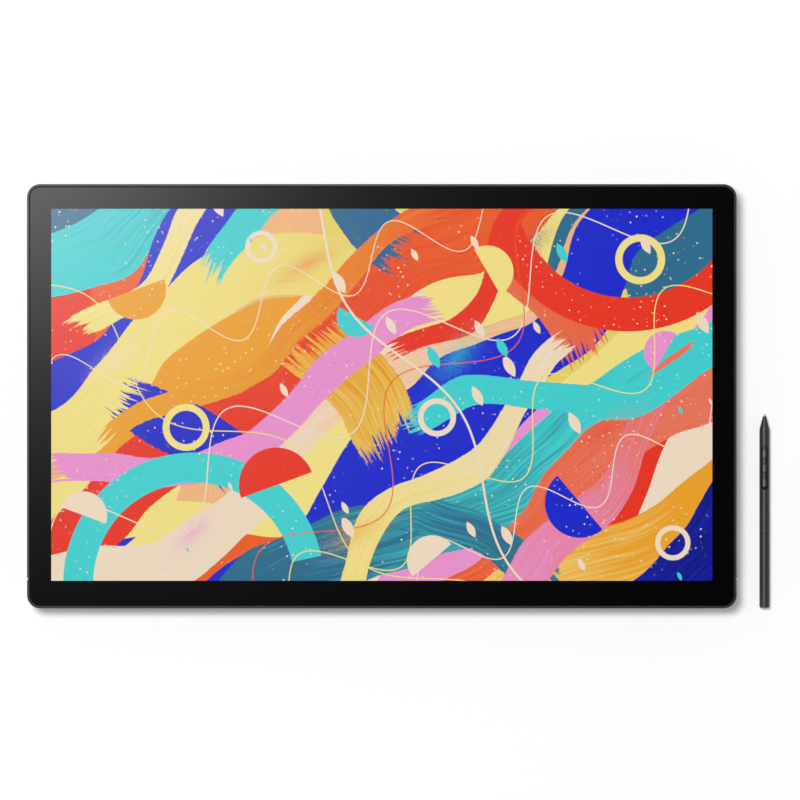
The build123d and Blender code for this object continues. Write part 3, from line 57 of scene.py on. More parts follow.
class Finish:
    """A material under construction, with its shader and its place on the object in metres."""

    def __init__(self, name):
        self.material = bpy.data.materials.new(name)
        self.material.use_nodes = True
        self.tree = self.material.node_tree
        self.shader = self.tree.nodes["Principled BSDF"]
        self.place = self.tree.nodes.new("ShaderNodeTexCoord").outputs["Object"]

    def put(self, socket, value):
        """Links a socket to another node's, or sets it to a plain value."""
        if isinstance(value, bpy.types.NodeSocket):
            self.tree.links.new(value, socket)
        else:
            socket.default_value = value

    def surface(self, **values):
        """Sets the shader's sockets, whose names have underscores here."""
        for name, value in values.items():
            self.put(self.shader.inputs[name.replace("_", " ")], value)

    def calc(self, operation, *values):
        """One step of arithmetic on plain numbers."""
        node = self.tree.nodes.new("ShaderNodeMath")
        node.operation = operation
        for socket, value in zip(node.inputs, values):
            self.put(socket, value)
        return node.outputs[0]

    def vector(self, operation, *values, output="Vector"):
        """One step of arithmetic on places or colours."""
        node = self.tree.nodes.new("ShaderNodeVectorMath")
        node.operation = operation
        for socket, value in zip(node.inputs, values):
            self.put(socket, value)
        return node.outputs[output]

    def scaled(self, vector, amount):
        """A place or colour times a number."""
        node = self.tree.nodes.new("ShaderNodeVectorMath")
        node.operation = "SCALE"
        self.put(node.inputs[0], vector)
        self.put(node.inputs["Scale"], amount)
        return node.outputs[0]

    def split(self, vector):
        """The three numbers of a place or colour."""
        node = self.tree.nodes.new("ShaderNodeSeparateXYZ")
        self.put(node.inputs[0], vector)
        return node.outputs[0], node.outputs[1], node.outputs[2]

    def join(self, x, y):
        """A flat place made of two numbers."""
        node = self.tree.nodes.new("ShaderNodeCombineXYZ")
        self.put(node.inputs["X"], x)
        self.put(node.inputs["Y"], y)
        return node.outputs[0]

    def mapped(self, place=None, shift=(0, 0, 0), turn=0.0, scale=(1, 1, 1)):
        """A place scaled, then turned about the vertical, then moved."""
        node = self.tree.nodes.new("ShaderNodeMapping")
        self.put(node.inputs["Vector"], place or self.place)
        node.inputs["Location"].default_value = shift
        node.inputs["Rotation"].default_value = (0, 0, turn)
        node.inputs["Scale"].default_value = scale
        return node.outputs[0]

    def axes(self, place, turn):
        """How far a place is along a direction, given in degrees, and how far across it."""
        along, across, _ = self.split(self.mapped(place, turn=-math.radians(turn)))
        return along, across

    def radius(self, x, y):
        """How far a place is from the middle."""
        return self.calc("SQRT", self.calc("MULTIPLY_ADD", x, x, self.calc("MULTIPLY", y, y)))

    def swing(self, along, across, middle, bend, length, start):
        """How far a place is to the side of a line that swings to and fro, and the line's phase there."""
        phase = self.calc("MULTIPLY_ADD", along, 2 * math.pi / length, start)
        aside = self.calc("MULTIPLY_ADD", self.calc("SINE", phase), -bend, across)
        return self.calc("SUBTRACT", aside, middle), phase

    def noise(self, scale, detail=2.0, roughness=0.5, place=None, output="Fac"):
        """A cloudy texture, finer with a larger scale."""
        node = self.tree.nodes.new("ShaderNodeTexNoise")
        self.put(node.inputs["Vector"], place or self.place)
        node.inputs["Scale"].default_value = scale
        node.inputs["Detail"].default_value = detail
        node.inputs["Roughness"].default_value = roughness
        return node.outputs[output]

    def cells(self, scale, place=None, randomness=1.0, flat=False):
        """A texture of cells, given as all its outputs."""
        node = self.tree.nodes.new("ShaderNodeTexVoronoi")
        node.voronoi_dimensions = "2D" if flat else "3D"
        self.put(node.inputs["Vector"], place or self.place)
        node.inputs["Scale"].default_value = scale
        node.inputs["Randomness"].default_value = randomness
        return node.outputs

    def between(self, value, low, high, to_low=0.0, to_high=1.0, smooth=False):
        """A value moved from one range to another and held inside it."""
        node = self.tree.nodes.new("ShaderNodeMapRange")
        node.interpolation_type = "SMOOTHSTEP" if smooth else "LINEAR"
        self.put(node.inputs["Value"], value)
        node.inputs["From Min"].default_value = low
        node.inputs["From Max"].default_value = high
        node.inputs["To Min"].default_value = to_low
        node.inputs["To Max"].default_value = to_high
        return node.outputs[0]

    def vary(self, noise, low, high):
        """A value that a noise moves between two limits."""
        return self.between(noise, NOISE_LOW, NOISE_HIGH, low, high)

    def mix(self, share, first, second):
        """Two colours mixed. The node's sockets for colours come after those for numbers and places."""
        node = self.tree.nodes.new("ShaderNodeMix")
        node.data_type = "RGBA"
        self.put(node.inputs[0], share)
        self.put(node.inputs[6], first)
        self.put(node.inputs[7], second)
        return node.outputs[2]

    def pick(self, value, colours):
        """One of several colours, with an equal share of the range for each."""
        node = self.tree.nodes.new("ShaderNodeValToRGB")
        ramp = node.color_ramp
        ramp.interpolation = "CONSTANT"
        ramp.elements.remove(ramp.elements[1])
        ramp.elements[0].color = colours[0]
        for index, colour in enumerate(colours[1:], 1):
            ramp.elements.new(index / len(colours)).color = colour
        self.put(node.inputs["Fac"], value)
        return node.outputs["Color"]

    def bump(self, height, distance, strength):
        """Relief of a given depth in metres."""
        node = self.tree.nodes.new("ShaderNodeBump")
        node.inputs["Strength"].default_value = strength
        node.inputs["Distance"].default_value = distance
        self.put(node.inputs["Height"], height)
        self.put(self.shader.inputs["Normal"], node.outputs[0])


# Moulded plastic: how far its tone strays, as a share, and how soft the edge of its dull part is
CLOUD_SHARE = 0.12
DULL_EDGE = 0.0001


def moulded(name, colour, roughness, grain=0.00012, depth=0.00001, shine=0.5, dull_below=None):
    """Moulded plastic with a fine spark texture, slightly cloudy, and dull below a given height."""
    finish = Finish(name)
    cloud = finish.noise(18.0, detail=3.0, roughness=0.55)
    fine = finish.noise(1.0 / grain, roughness=0.6)
    tone = finish.mix(cloud, shade(colour, 1 - CLOUD_SHARE), shade(colour, 1 + CLOUD_SHARE))
    both = finish.calc("ADD", cloud, fine)
    gloss = finish.between(both, 2 * NOISE_LOW, 2 * NOISE_HIGH, roughness - 0.05, roughness + 0.06)
    if dull_below is not None:
        height = finish.split(finish.place)[2]
        dull = finish.between(height, dull_below, dull_below + DULL_EDGE, to_low=1.0, to_high=0.0)
        gloss = finish.calc("MAXIMUM", gloss, dull)
    finish.surface(Base_Color=tone, Roughness=gloss, Specular_IOR_Level=shine)
    finish.bump(fine, depth, strength=0.6)
    return finish.material


def soft_rubber(name, colour):
    """Rubber with a dusty, open surface."""
    finish = Finish(name)
    dust = finish.noise(900.0, detail=4.0, roughness=0.7)
    finish.surface(Base_Color=finish.mix(dust, colour, shade(colour, 2.2)))
    finish.surface(Roughness=finish.vary(dust, 0.72, 0.9))
    finish.bump(dust, 0.00003, strength=0.5)
    return finish.material


def rolled_metal(name, colour, roughness, stretch=(1, 40, 40)):
    """Sheet or drawn metal, with the fine lines that rolling leaves."""
    finish = Finish(name)
    lines = finish.noise(60.0, detail=4.0, roughness=0.65, place=finish.mapped(scale=stretch))
    tarnish = finish.noise(25.0, detail=3.0)
    finish.surface(Base_Color=finish.mix(tarnish, shade(colour, 0.82), colour), Metallic=1.0)
    finish.surface(Roughness=finish.vary(lines, roughness - 0.08, roughness + 0.1))
    finish.bump(lines, 0.00001, strength=0.4)
    return finish.material


# A circuit board's pattern: how fine its tracks and pads are, and where the edge of each starts and ends
TRACK_FINENESS = 260.0
TRACK_EDGE = (0.28, 0.34)
PAD_FINENESS = 420.0
PAD_EDGE = (0.16, 0.12)


def circuit_board(name, colour, copper):
    """Solder resist over a pattern of tracks and pads."""
    finish = Finish(name)
    tracks = finish.between(finish.cells(TRACK_FINENESS, randomness=0.85)["Distance"], *TRACK_EDGE)
    pads = finish.between(finish.cells(PAD_FINENESS)["Distance"], *PAD_EDGE)
    resist = finish.mix(tracks, shade(colour, 0.7), shade(colour, 1.35))
    finish.surface(Base_Color=finish.mix(pads, resist, copper))
    finish.surface(Metallic=finish.between(pads, 0.0, 1.0, to_high=0.9))
    finish.surface(Roughness=finish.between(tracks, 0.0, 1.0, to_low=0.42, to_high=0.3))
    finish.bump(tracks, 0.00003, strength=0.5)
    return finish.material


def clear_sheet(name, colour, roughness):
    """Clear or frosted plastic sheet."""
    finish = Finish(name)
    cloud = finish.noise(12.0)
    finish.surface(Base_Color=finish.mix(cloud, shade(colour, 0.96), colour))
    finish.surface(Roughness=finish.vary(cloud, roughness, roughness + 0.06), Transmission_Weight=1.0)
    return finish.material


# The front glass: its refractive index, and how coarse its etched top is
GLASS_INDEX = 1.5
ETCHED_ROUGHNESS = 0.25


def etched_glass():
    """The front glass: a clear body that mirrors nothing, and an etched top that spreads a soft sheen."""
    finish = Finish("etched_front_glass")
    etching = finish.noise(9000.0, roughness=0.6)
    cloud = finish.noise(6.0)
    finish.surface(Base_Color=finish.mix(cloud, (0.97, 0.985, 0.98, 1), (0.985, 0.99, 0.99, 1)))
    finish.surface(Roughness=finish.between(finish.calc("ADD", etching, cloud), 0.7, 1.3, 0.03, 0.05))
    finish.surface(Transmission_Weight=1.0, IOR=GLASS_INDEX, Specular_Tint=(0, 0, 0, 1))
    finish.surface(Coat_Weight=1.0, Coat_Roughness=ETCHED_ROUGHNESS, Coat_IOR=GLASS_INDEX)
    return finish.material


def printed_border():
    """The black ink behind the glass."""
    finish = Finish("printed_black_border")
    ink = finish.noise(4000.0)
    finish.surface(Base_Color=finish.mix(ink, (0.0018, 0.0018, 0.002, 1), (0.0032, 0.0032, 0.0035, 1)))
    finish.surface(Roughness=finish.vary(ink, 0.55, 0.7), Specular_IOR_Level=0.1)
    return finish.material


def bonding_resin():
    """The clear layer between glass and panel, which bends no light."""
    finish = Finish("bonding_resin")
    cloud = finish.noise(5.0)
    finish.surface(Base_Color=finish.mix(cloud, (0.99, 0.99, 0.99, 1), (1, 1, 1, 1)))
    finish.surface(Transmission_Weight=1.0, IOR=1.0, Roughness=0.0)
    return finish.material


ORANGE = paint(240, 94, 36)
RED = paint(236, 52, 30)
BLUE = paint(22, 38, 204)
TEAL = paint(44, 110, 142)
TURQUOISE = paint(66, 210, 210)
YELLOW = paint(246, 226, 134)
PINK = paint(238, 148, 208)
CREAM = paint(244, 222, 196)
AMBER = paint(240, 162, 36)
PEACH = paint(244, 184, 128)
SAND = paint(234, 212, 104)
NAVY = paint(14, 20, 132)
CORAL = paint(238, 118, 92)

# The picture is laid out in millimetres from its middle. This many make a metre
MILLIMETRES = 1000

# The swirl that bends bands and patches: how fine it is and how strongly it moves them
SWIRL_FINENESS = 0.006
SWIRL_REACH = 64

# The patchwork under everything: how long and how wide its patches are, their turn in degrees and the
# colours that they are dealt
PATCH_LENGTH = 150.0
PATCH_WIDTH = 56.0
PATCH_TURN = 36
PATCH_COLOURS = [YELLOW, CREAM, ORANGE, SAND, TURQUOISE, PEACH, RED, YELLOW, BLUE, PINK, AMBER, TEAL]

# Bands of the picture: turn in degrees, middle, half width, bend height, bend length, bend start, where the
# band starts and ends along itself, how bristly it is, and its two colours
BANDS = [
    (34, 236, 26, 14, 300, 0.4, -400, 400, 0.2, TURQUOISE, TEAL),
    (40, 176, 22, 16, 260, 1.9, -400, 400, 0.1, BLUE, BLUE),
    (29, 118, 24, 18, 320, 3.1, -400, 400, 0.3, YELLOW, SAND),
    (38, 62, 25, 14, 250, 0.2, -400, 400, 0.2, RED, ORANGE),
    (33, 2, 20, 20, 300, 2.2, -400, 400, 0.2, CREAM, PEACH),
    (43, -44, 27, 12, 240, 1.2, -400, 400, 0.1, BLUE, BLUE),
    (27, -104, 26, 18, 330, 4.0, -400, 400, 0.2, TEAL, TURQUOISE),
    (37, -158, 19, 16, 270, 5.2, -400, 400, 0.3, ORANGE, CORAL),
    (31, -206, 26, 14, 280, 0.9, -400, 400, 0.3, YELLOW, AMBER),
    (39, -252, 24, 12, 300, 2.8, -400, 400, 0.2, BLUE, NAVY),
    (-38, 108, 22, 8, 210, 0.6, -150, -62, 0.9, TEAL, BLUE),
    (-48, -12, 26, 7, 190, 2.4, -70, 34, 1.0, AMBER, SAND),
    (-30, -66, 17, 9, 230, 4.2, 84, 190, 0.9, TURQUOISE, TEAL),
    (-56, 150, 20, 6, 200, 1.0, -40, 56, 1.0, CORAL, ORANGE),
    (-42, -130, 21, 8, 220, 3.3, -150, -54, 0.9, BLUE, NAVY),
    (24, 30, 13, 24, 310, 1.0, -270, 60, 0.5, PINK, PINK),
    (46, -84, 12, 15, 200, 4.0, -400, 130, 0.3, YELLOW, CREAM),
    (30, 150, 12, 24, 260, 1.4, -60, 400, 0.4, TURQUOISE, TURQUOISE),
    (52, -186, 15, 10, 170, 2.6, -150, 190, 0.5, PINK, CORAL),
    (21, -52, 14, 26, 330, 0.8, 20, 400, 0.4, TURQUOISE, TURQUOISE),
    (35, 88, 8, 16, 250, 0.1, -200, 120, 0.7, AMBER, ORANGE),
    (48, 206, 10, 14, 210, 5.9, -120, 200, 0.4, YELLOW, CREAM),
    (41, 20, 9, 18, 180, 1.7, 30, 270, 0.6, RED, RED),
]

# Shapes laid on the bands: kind, place, radius, turn in degrees and colour
MOTIFS = [
    ("arch", -150, -150, 92, 12, TURQUOISE),
    ("arch", 196, 168, 104, 200, RED),
    ("half", -196, 84, 24, 200, AMBER),
    ("half", -84, -72, 30, 20, RED),
    ("half", 158, -86, 28, 130, BLUE),
    ("half", 84, 98, 21, 300, YELLOW),
    ("half", 226, 34, 17, 60, PINK),
    ("half", -238, -96, 19, 340, CREAM),
    ("half", 40, -132, 20, 40, CREAM),
    ("half", -20, 62, 16, 150, TURQUOISE),
    ("ring", -156, -26, 16, 0, YELLOW),
    ("ring", 44, -18, 13, 0, CREAM),
    ("ring", 206, 108, 17, 0, YELLOW),
    ("ring", -96, 118, 11, 0, CREAM),
    ("ring", 232, -118, 12, 0, CREAM),
]

# Fine drawn lines: turn in degrees, middle, bend height, bend length, bend start, half width and colour
DRAWN_LINES = [
    (31, 20, 34, 150, 0.0, 0.5, CREAM),
    (36, -92, 28, 120, 2.0, 0.45, YELLOW),
    (22, 104, 22, 95, 4.1, 0.4, CREAM),
    (52, -30, 30, 170, 1.1, 0.4, ORANGE),
    (28, -140, 20, 88, 3.0, 0.45, CREAM),
    (-58, 30, 16, 240, 0.4, 0.9, CREAM),
    (-36, -96, 22, 200, 2.6, 0.45, YELLOW),
]

# Sprayed grain: place, reach along and across, turn in degrees and colour
SPRAYS = [
    (-210, 30, 70, 26, 40, CREAM),
    (-60, 104, 80, 24, 30, ORANGE),
    (60, 30, 64, 30, 50, TURQUOISE),
    (178, -30, 76, 24, 34, RED),
    (120, 120, 60, 24, 42, NAVY),
    (-20, -110, 72, 26, 28, AMBER),
    (-150, -110, 60, 24, 46, PINK),
]

# Half the width over which an edge fades out: of a painted shape, of a drawn line and of a band's dry end
PAINT_BLUR = 0.15
LINE_BLUR = 0.12
DRY_BLUR = 0.6

# A band's end that lies further out than this isn't in the picture
OUT_OF_SIGHT = 300

# Streaks to a millimetre along a band and across it
STREAKS_ALONG = 0.012
STREAKS_ACROSS = 0.45

# How strongly a band's edge wavers and its end runs out: on a smooth band, and what full bristles add
EDGE_WAVER = 0.8
BRISTLE_WAVER = 3.0
END_RUN = 30.0
BRISTLE_RUN = 50.0

# How fast a band goes over to its second colour along itself, and at which streaks that starts and ends
TONE_DRIFT = 0.002
TONE_START = 0.3
TONE_END = 0.8

# How light a band's darkest and lightest streaks are, and how much further full bristles take them
STREAK_DARK = 0.97
STREAK_LIGHT = 1.01
BRISTLE_DARKER = 0.06
BRISTLE_LIGHTER = 0.04

# Half the width of the stroke of an arch and of a ring, as shares of the radius
ARCH_STROKE_SHARE = 0.13
RING_STROKE_SHARE = 0.17

# Sprayed grain: the least noise that leaves a speck in the middle and at the edge of a cloud, and its blur
SPRAY_MIDDLE = 0.5
SPRAY_EDGE = 0.78
SPECK_BLUR = 0.015

# Leaves: spacing, lean in degrees, half length of the longest, half width as a share of it, blur, the
# chances from which a leaf shows and is longest, and the share of cream ones
LEAF_SPACING = 48
LEAF_LEAN = 62
LEAF_REACH = 10.0
LEAF_WIDTH_SHARE = 0.42
LEAF_BLUR = 0.3
LEAF_FIRST_CHANCE = 0.42
LEAF_FULL_CHANCE = 0.9
CREAM_SHARE = 0.64

# Drops: spacing, largest radius and blur as shares of it, and the chance from which a drop shows
DROP_SPACING = 5
DROP_SHARE = 0.17
DROP_BLUR_SHARE = 0.04
DROP_FIRST_CHANCE = 0.5

# Showers of drops: how fine their pattern is, and the noise at which they begin and are fullest
SHOWER_FINENESS = 0.016
SHOWER_START = 0.46
SHOWER_FULL = 0.52

# How fine the wavering of a band's edge is and the grain over the whole picture, and how light the grain's
# darkest and lightest specks are
WAVER_FINENESS = 0.3
GRAIN_FINENESS = 1.3
GRAIN_DARK = 0.95
GRAIN_LIGHT = 1.04


def band(
    finish, place, edge, under,
    turn, middle, half, bend, length, start, first, last, bristle, colour, second,
):
    """One painted band over what lies under it: clean edges, faint streaks along it and dry ends."""
    along, across = finish.axes(place, turn)
    offset, _ = finish.swing(along, across, middle, bend, length, start)
    lane_along = finish.calc("MULTIPLY", along, STREAKS_ALONG)
    lane_across = finish.calc("MULTIPLY", offset, STREAKS_ACROSS)
    streak = finish.noise(1.0, roughness=0.6, place=finish.join(lane_along, lane_across))
    width = finish.calc("MULTIPLY_ADD", edge, EDGE_WAVER + BRISTLE_WAVER * bristle, half)
    outside = finish.calc("SUBTRACT", finish.calc("ABSOLUTE", offset), width)
    mask = finish.between(outside, PAINT_BLUR, -PAINT_BLUR)
    run = finish.calc("SUBTRACT", streak, 0.5)
    dry = finish.calc("MULTIPLY_ADD", run, END_RUN + BRISTLE_RUN * bristle, along)
    if first > -OUT_OF_SIGHT:
        mask = finish.calc("MULTIPLY", mask, finish.between(dry, first - DRY_BLUR, first + DRY_BLUR))
    if last < OUT_OF_SIGHT:
        mask = finish.calc("MULTIPLY", mask, finish.between(dry, last + DRY_BLUR, last - DRY_BLUR))
    drift = finish.calc("MULTIPLY_ADD", along, TONE_DRIFT, streak)
    tone = finish.mix(finish.between(drift, TONE_START, TONE_END), colour, second)
    darkest = STREAK_DARK - BRISTLE_DARKER * bristle
    lightest = STREAK_LIGHT + BRISTLE_LIGHTER * bristle
    return finish.mix(mask, under, finish.scaled(tone, finish.vary(streak, darkest, lightest)))


def motif(finish, place, under, kind, x, y, size, turn, colour):
    """A half disc, ring or arch laid over the bands."""
    across, up = finish.axes(finish.mapped(place, shift=(-x, -y, 0)), turn)
    radius = finish.radius(across, up)
    if kind == "half":
        mask = finish.between(radius, size + PAINT_BLUR, size - PAINT_BLUR)
    else:
        away = finish.calc("ABSOLUTE", finish.calc("SUBTRACT", radius, size))
        stroke = size * (ARCH_STROKE_SHARE if kind == "arch" else RING_STROKE_SHARE)
        mask = finish.between(away, stroke + PAINT_BLUR, stroke - PAINT_BLUR)
    if kind != "ring":
        mask = finish.calc("MULTIPLY", mask, finish.between(up, -PAINT_BLUR, PAINT_BLUR))
    return finish.mix(mask, under, colour)


def drawn_line(finish, place, under, turn, middle, bend, length, start, half, colour):
    """A thin drawn line that swings across the picture, as wide where it is steep as elsewhere."""
    along, across = finish.axes(place, turn)
    offset, phase = finish.swing(along, across, middle, bend, length, start)
    steep = finish.calc("COSINE", phase)
    rise = 2 * math.pi / length * bend
    slope = finish.calc("MULTIPLY_ADD", finish.calc("MULTIPLY", steep, steep), rise * rise, 1.0)
    distance = finish.calc("DIVIDE", finish.calc("ABSOLUTE", offset), finish.calc("SQRT", slope))
    return finish.mix(finish.between(distance, half + LINE_BLUR, half - LINE_BLUR), under, colour)


def sprayed(finish, place, grain, under, x, y, reach, spread, turn, colour):
    """Grain sprayed on in a long cloud that thins out towards its edge."""
    along, across = finish.axes(finish.mapped(place, shift=(-x, -y, 0)), turn)
    away = finish.radius(finish.calc("DIVIDE", along, reach), finish.calc("DIVIDE", across, spread))
    least = finish.between(away, 0.0, 1.0, SPRAY_MIDDLE, SPRAY_EDGE)
    speck = finish.between(finish.calc("SUBTRACT", grain, least), -SPECK_BLUR, SPECK_BLUR)
    return finish.mix(speck, under, colour)


def petals(finish, place, under):
    """Small pointed leaves scattered over the picture, all leaning one way."""
    scatter = finish.cells(1 / LEAF_SPACING, place, flat=True)
    along, across = finish.axes(finish.vector("SUBTRACT", place, scatter["Position"]), -LEAF_LEAN)
    kind, _, chance = finish.split(scatter["Color"])
    reach = finish.between(chance, LEAF_FIRST_CHANCE, LEAF_FULL_CHANCE, to_high=LEAF_REACH)
    share = finish.calc("DIVIDE", along, reach)
    square = finish.calc("MULTIPLY", share, share)
    width_share = finish.calc("MULTIPLY_ADD", square, -LEAF_WIDTH_SHARE, LEAF_WIDTH_SHARE)
    belly = finish.calc("MULTIPLY", width_share, reach)
    outside = finish.calc("SUBTRACT", finish.calc("ABSOLUTE", across), belly)
    colour = finish.mix(finish.between(kind, CREAM_SHARE, CREAM_SHARE + 0.01), CREAM, TURQUOISE)
    return finish.mix(finish.between(outside, 0.0, -LEAF_BLUR), under, colour)


def spatter(finish, place, under):
    """Fine drops flung over parts of the picture."""
    drops = finish.cells(1 / DROP_SPACING, place, flat=True)
    chance = finish.split(drops["Color"])[2]
    size = finish.between(chance, DROP_FIRST_CHANCE, 1.0, to_high=DROP_SHARE)
    shower = finish.between(finish.noise(SHOWER_FINENESS, place=place), SHOWER_START, SHOWER_FULL)
    dot = finish.between(finish.calc("SUBTRACT", drops["Distance"], size), 0.0, -DROP_BLUR_SHARE)
    return finish.mix(finish.calc("MULTIPLY", shower, dot), under, CREAM)


def lit_picture():
    """The panel with its picture, laid down from the patchwork up to the drops, and giving light."""
    finish = Finish("lit_picture")
    centre = (PANEL_LOW + PANEL_HIGH) / 2
    shift = (-centre.x * MILLIMETRES, -centre.y * MILLIMETRES, 0)
    place = finish.mapped(shift=shift, scale=(MILLIMETRES, MILLIMETRES, 0))
    swirl = finish.noise(SWIRL_FINENESS, place=place, output="Color")
    swirl = finish.vector("SUBTRACT", swirl, (0.5, 0.5, 0.5))
    flow = finish.vector("MULTIPLY_ADD", swirl, (SWIRL_REACH, SWIRL_REACH, 0), place)
    turned = finish.mapped(flow, turn=-math.radians(PATCH_TURN))
    patchwork = finish.mapped(turned, scale=(1 / PATCH_LENGTH, 1 / PATCH_WIDTH, 0))
    patches = finish.cells(1.0, patchwork, flat=True)
    picture = finish.pick(finish.split(patches["Color"])[1], PATCH_COLOURS)
    grain = finish.noise(GRAIN_FINENESS, roughness=0.7, place=place)
    edge = finish.noise(WAVER_FINENESS, detail=3.0, roughness=0.7, place=place)
    edge = finish.calc("SUBTRACT", edge, 0.5)
    for values in BANDS:
        picture = band(finish, flow, edge, picture, *values)
    for values in SPRAYS:
        picture = sprayed(finish, place, grain, picture, *values)
    for values in MOTIFS:
        picture = motif(finish, place, picture, *values)
    for values in DRAWN_LINES:
        picture = drawn_line(finish, place, picture, *values)
    picture = spatter(finish, place, petals(finish, place, picture))
    lit = finish.scaled(picture, finish.vary(grain, GRAIN_DARK, GRAIN_LIGHT))
    finish.surface(Base_Color=(0.01, 0.01, 0.012, 1), Roughness=0.5, Specular_IOR_Level=0.0)
    finish.surface(Emission_Color=lit, Emission_Strength=1.0)
    finish.material.cycles.emission_sampling = "NONE"
    return finish.material


# The finish for each material slot that the record names
FINISHES = {
    "front_glass": etched_glass,
    "black_print": printed_border,
    "clear_resin": bonding_resin,
    "panel_glass": lit_picture,
    "diffuser_white": lambda: moulded("diffuser_film", (0.86, 0.87, 0.88, 1), 0.5),
    "guide_acrylic": lambda: clear_sheet("guide_acrylic", (0.93, 0.97, 0.98, 1), 0.08),
    "reflector_white": lambda: moulded("reflector_sheet", (0.9, 0.9, 0.89, 1), 0.25),
    "led_strip": lambda: moulded("lamp_strip", (0.88, 0.82, 0.5, 1), 0.35),
    "ring_white": lambda: moulded("ring_plastic", (0.8, 0.8, 0.79, 1), 0.5),
    "tray_sheet": lambda: rolled_metal("tray_aluminium", (0.68, 0.69, 0.7, 1), 0.38),
    "zinc_steel": lambda: rolled_metal("zinc_plated_steel", (0.56, 0.57, 0.59, 1), 0.36),
    "board_green": lambda: circuit_board("green_board", (0.02, 0.13, 0.06, 1), (0.72, 0.6, 0.32, 1)),
    "board_black": lambda: circuit_board("sensor_board", (0.02, 0.024, 0.04, 1), (0.6, 0.42, 0.24, 1)),
    "chip_black": lambda: moulded("chip_resin", (0.028, 0.028, 0.03, 1), 0.6),
    "film_amber": lambda: moulded("amber_film", (0.5, 0.24, 0.04, 1), 0.25),
    "ribbon_white": lambda: moulded("ribbon_coat", (0.7, 0.72, 0.76, 1), 0.3),
    "shield_foil": lambda: rolled_metal("shield_foil", (0.74, 0.75, 0.76, 1), 0.28),
    "tape_black": lambda: soft_rubber("foam_tape", (0.02, 0.02, 0.02, 1)),
    "frame_dark": lambda: moulded("frame_plastic", (0.015, 0.015, 0.016, 1), 0.34, shine=0.28),
    "cover_dark": lambda: moulded(
        "cover_plastic", (0.018, 0.018, 0.02, 1), 0.5, grain=0.00025, depth=0.00003
    ),
    "rubber_black": lambda: soft_rubber("foot_rubber", (0.016, 0.016, 0.017, 1)),
    "black_screw": lambda: rolled_metal("blackened_screw", (0.09, 0.09, 0.1, 1), 0.4),
    "pin_steel": lambda: rolled_metal("ground_pin", (0.6, 0.6, 0.61, 1), 0.2),
    "washer_bronze": lambda: rolled_metal("washer_bronze", (0.6, 0.42, 0.2, 1), 0.34),
    "spreader_alloy": lambda: rolled_metal("spreader_alloy", (0.62, 0.63, 0.64, 1), 0.42),
    "pad_grey": lambda: soft_rubber("thermal_pad", (0.25, 0.27, 0.32, 1)),
    "socket_steel": lambda: rolled_metal("socket_steel", (0.55, 0.56, 0.58, 1), 0.26),
    "button_dark": lambda: moulded("button_plastic", (0.026, 0.026, 0.028, 1), 0.3),
    "light_pipe": lambda: clear_sheet("light_pipe", (0.9, 0.94, 0.98, 1), 0.3),
    "leg_dark": lambda: moulded("leg_plastic", (0.024, 0.024, 0.026, 1), 0.45),
    "pen_black": lambda: moulded("pen_barrel", (0.008, 0.008, 0.009, 1), 0.5, shine=0.8),
    "pen_panel": lambda: moulded(
        "pen_key_panel", (0.007, 0.007, 0.007, 1), 0.42, shine=0.55, dull_below=KEY_PANEL_MIDDLE
    ),
    "pen_key": lambda: moulded("pen_key", (0.02, 0.02, 0.022, 1), 0.42, shine=0.85),
    "nib_grey": lambda: moulded("nib_plastic", (0.6, 0.6, 0.6, 1), 0.45),
    "ferrite": lambda: moulded("ferrite", (0.05, 0.05, 0.055, 1), 0.6),
    "copper_wire": lambda: rolled_metal("enamelled_wire", (0.7, 0.3, 0.14, 1), 0.3, stretch=(1, 60, 1)),
    "can_steel": lambda: rolled_metal("sensor_can", (0.58, 0.59, 0.6, 1), 0.3),
    "weight_brass": lambda: rolled_metal("weight_brass", (0.66, 0.48, 0.2, 1), 0.28),
}


def dress_nodes():
    """Gives every carried-over piece its finish."""
    made = {name: make() for name, make in FINISHES.items()}
    for part in frame["record"]["subparts"]:
        piece = nodes[part["node"]]
        piece.data.materials.clear()
        piece.data.materials.append(made[part["material_slot"]])


# The desk: its side, how far from its middle its own light starts and stops growing, and the least of it
DESK_SIDE = 16.0
GLOW_START = 0.55
GLOW_END = 2.6
GLOW_LEAST = 0.22


def desk():
    """The plain pale floor, with light of its own that keeps it pale further out."""
    bpy.ops.object.select_all(action="DESELECT")
    bpy.ops.mesh.primitive_plane_add(size=DESK_SIDE, location=(0, 0, 0))
    floor = bpy.context.object
    floor.name = "desk_plane"
    finish = Finish("pale_desk")
    cloud = finish.noise(3.0)
    finish.surface(Base_Color=finish.mix(cloud, (0.88, 0.88, 0.88, 1), (0.9, 0.9, 0.9, 1)))
    finish.surface(Roughness=0.9, Specular_IOR_Level=0.0)
    away = finish.vector("LENGTH", finish.place, output="Value")
    glow = finish.between(away, GLOW_START, GLOW_END, GLOW_LEAST, 1.0, smooth=True)
    finish.surface(Emission_Color=(1, 1, 1, 1), Emission_Strength=glow)
    finish.material.cycles.emission_sampling = "NONE"
    floor.data.materials.append(finish.material)


# The lamps: where each stands, its side and its power
KEY_PLACE = (TABLET_X - 2.1, 2.25, 10.0)
KEY_SIDE = 3.0
KEY_POWER = 755.0
SHEEN_PLACE = (TABLET_X - 0.42, 0.34, 1.8)
SHEEN_SIDE = 0.35
SHEEN_POWER = 3.5

# How light the walls are: heights between the horizon at 0 and straight above at 1, each with its light
WALL_LIGHTS = ((0.13, 1.0), (0.36, 0.26), (0.92, 0.02))


def area_lamp(name, place, side, power):
    """A square soft lamp that is turned to the tablet."""
    data = bpy.data.lights.new(name, "AREA")
    data.shape = "SQUARE"
    data.size = side
    data.energy = power
    lamp = bpy.data.objects.new(name, data)
    bpy.context.scene.collection.objects.link(lamp)
    lamp.location = place
    ray = Vector((TABLET_X, 0, 0)) - Vector(place)
    lamp.rotation_euler = ray.to_track_quat("-Z", "Y").to_euler()
    return lamp


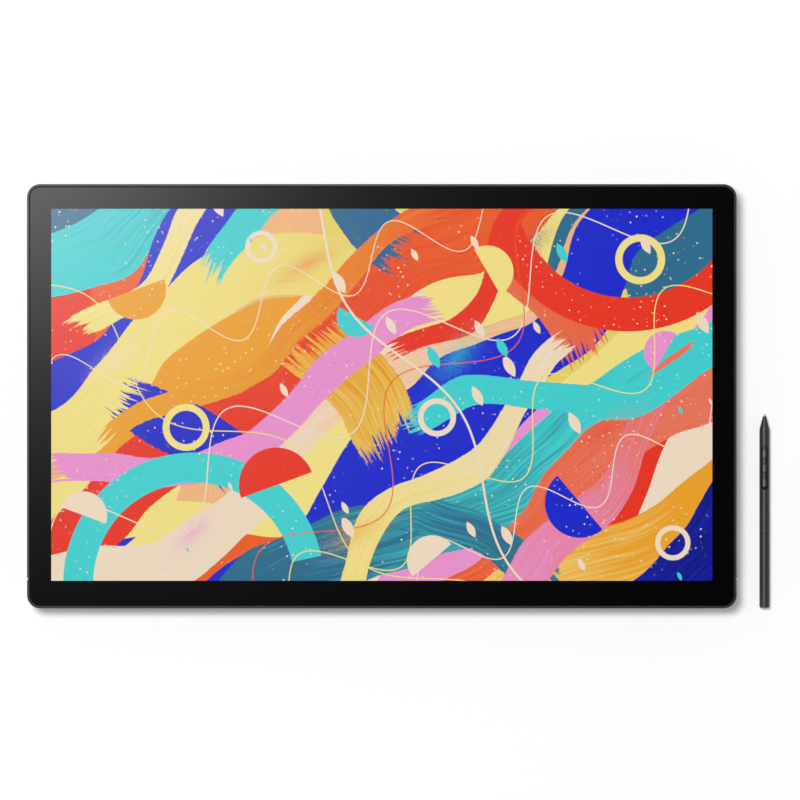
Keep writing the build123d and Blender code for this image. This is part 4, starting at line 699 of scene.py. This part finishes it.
def lamps():
    """A broad soft key high up, which is kept off the front glass, and a small lamp for the sheen on it."""
    key = area_lamp("key_softbox", KEY_PLACE, KEY_SIDE, KEY_POWER)
    unlit = bpy.data.collections.new("kept_out_of_the_key")
    unlit.objects.link(nodes["cover_glass"])
    unlit.collection_objects[0].light_linking.link_state = "EXCLUDE"
    key.light_linking.receiver_collection = unlit
    area_lamp("sheen_lamp", SHEEN_PLACE, SHEEN_SIDE, SHEEN_POWER)


def walls():
    """Walls that are pale low down and dark above."""
    world = bpy.data.worlds.new("pale_walls")
    bpy.context.scene.world = world
    world.use_nodes = True
    tree = world.node_tree
    background = tree.nodes["Background"]
    place = tree.nodes.new("ShaderNodeTexCoord")
    split = tree.nodes.new("ShaderNodeSeparateXYZ")
    tree.links.new(place.outputs["Generated"], split.inputs[0])
    heights = tree.nodes.new("ShaderNodeValToRGB")
    tree.links.new(split.outputs["Z"], heights.inputs["Fac"])
    ramp = heights.color_ramp
    ramp.interpolation = "EASE"
    ramp.elements.remove(ramp.elements[1])
    ramp.elements[0].color = (1, 1, 1, 1)
    for height, light in WALL_LIGHTS:
        ramp.elements.new(height).color = (light, light, light, 1)
    tree.links.new(heights.outputs["Color"], background.inputs["Strength"])
    background.inputs["Color"].default_value = (1, 1, 1, 1)


# The camera: its height over the glass, how wide its view is there, how far the view's middle lies right of
# the tablet's and nearer than it, the width of its sensor in millimetres, and how far it sees
CAMERA_HEIGHT = 5.0
VIEW_WIDTH = 0.6376
VIEW_RIGHT = 0.0145
VIEW_NEARER = 0.003
SENSOR_WIDTH = 36.0
CAMERA_REACH = 50.0


def camera():
    """A long lens straight above, framed as the photograph is."""
    data = bpy.data.cameras.new("overhead")
    data.sensor_width = SENSOR_WIDTH
    data.lens = SENSOR_WIDTH * CAMERA_HEIGHT / VIEW_WIDTH
    data.clip_end = CAMERA_REACH
    overhead = bpy.data.objects.new("overhead", data)
    bpy.context.scene.collection.objects.link(overhead)
    overhead.location = (TABLET_X + VIEW_RIGHT, -VIEW_NEARER, GLASS_TOP + CAMERA_HEIGHT)
    bpy.context.scene.camera = overhead
    bpy.context.scene.view_settings.view_transform = "Standard"


camera()
lamps()
walls()
desk()
dress_nodes()
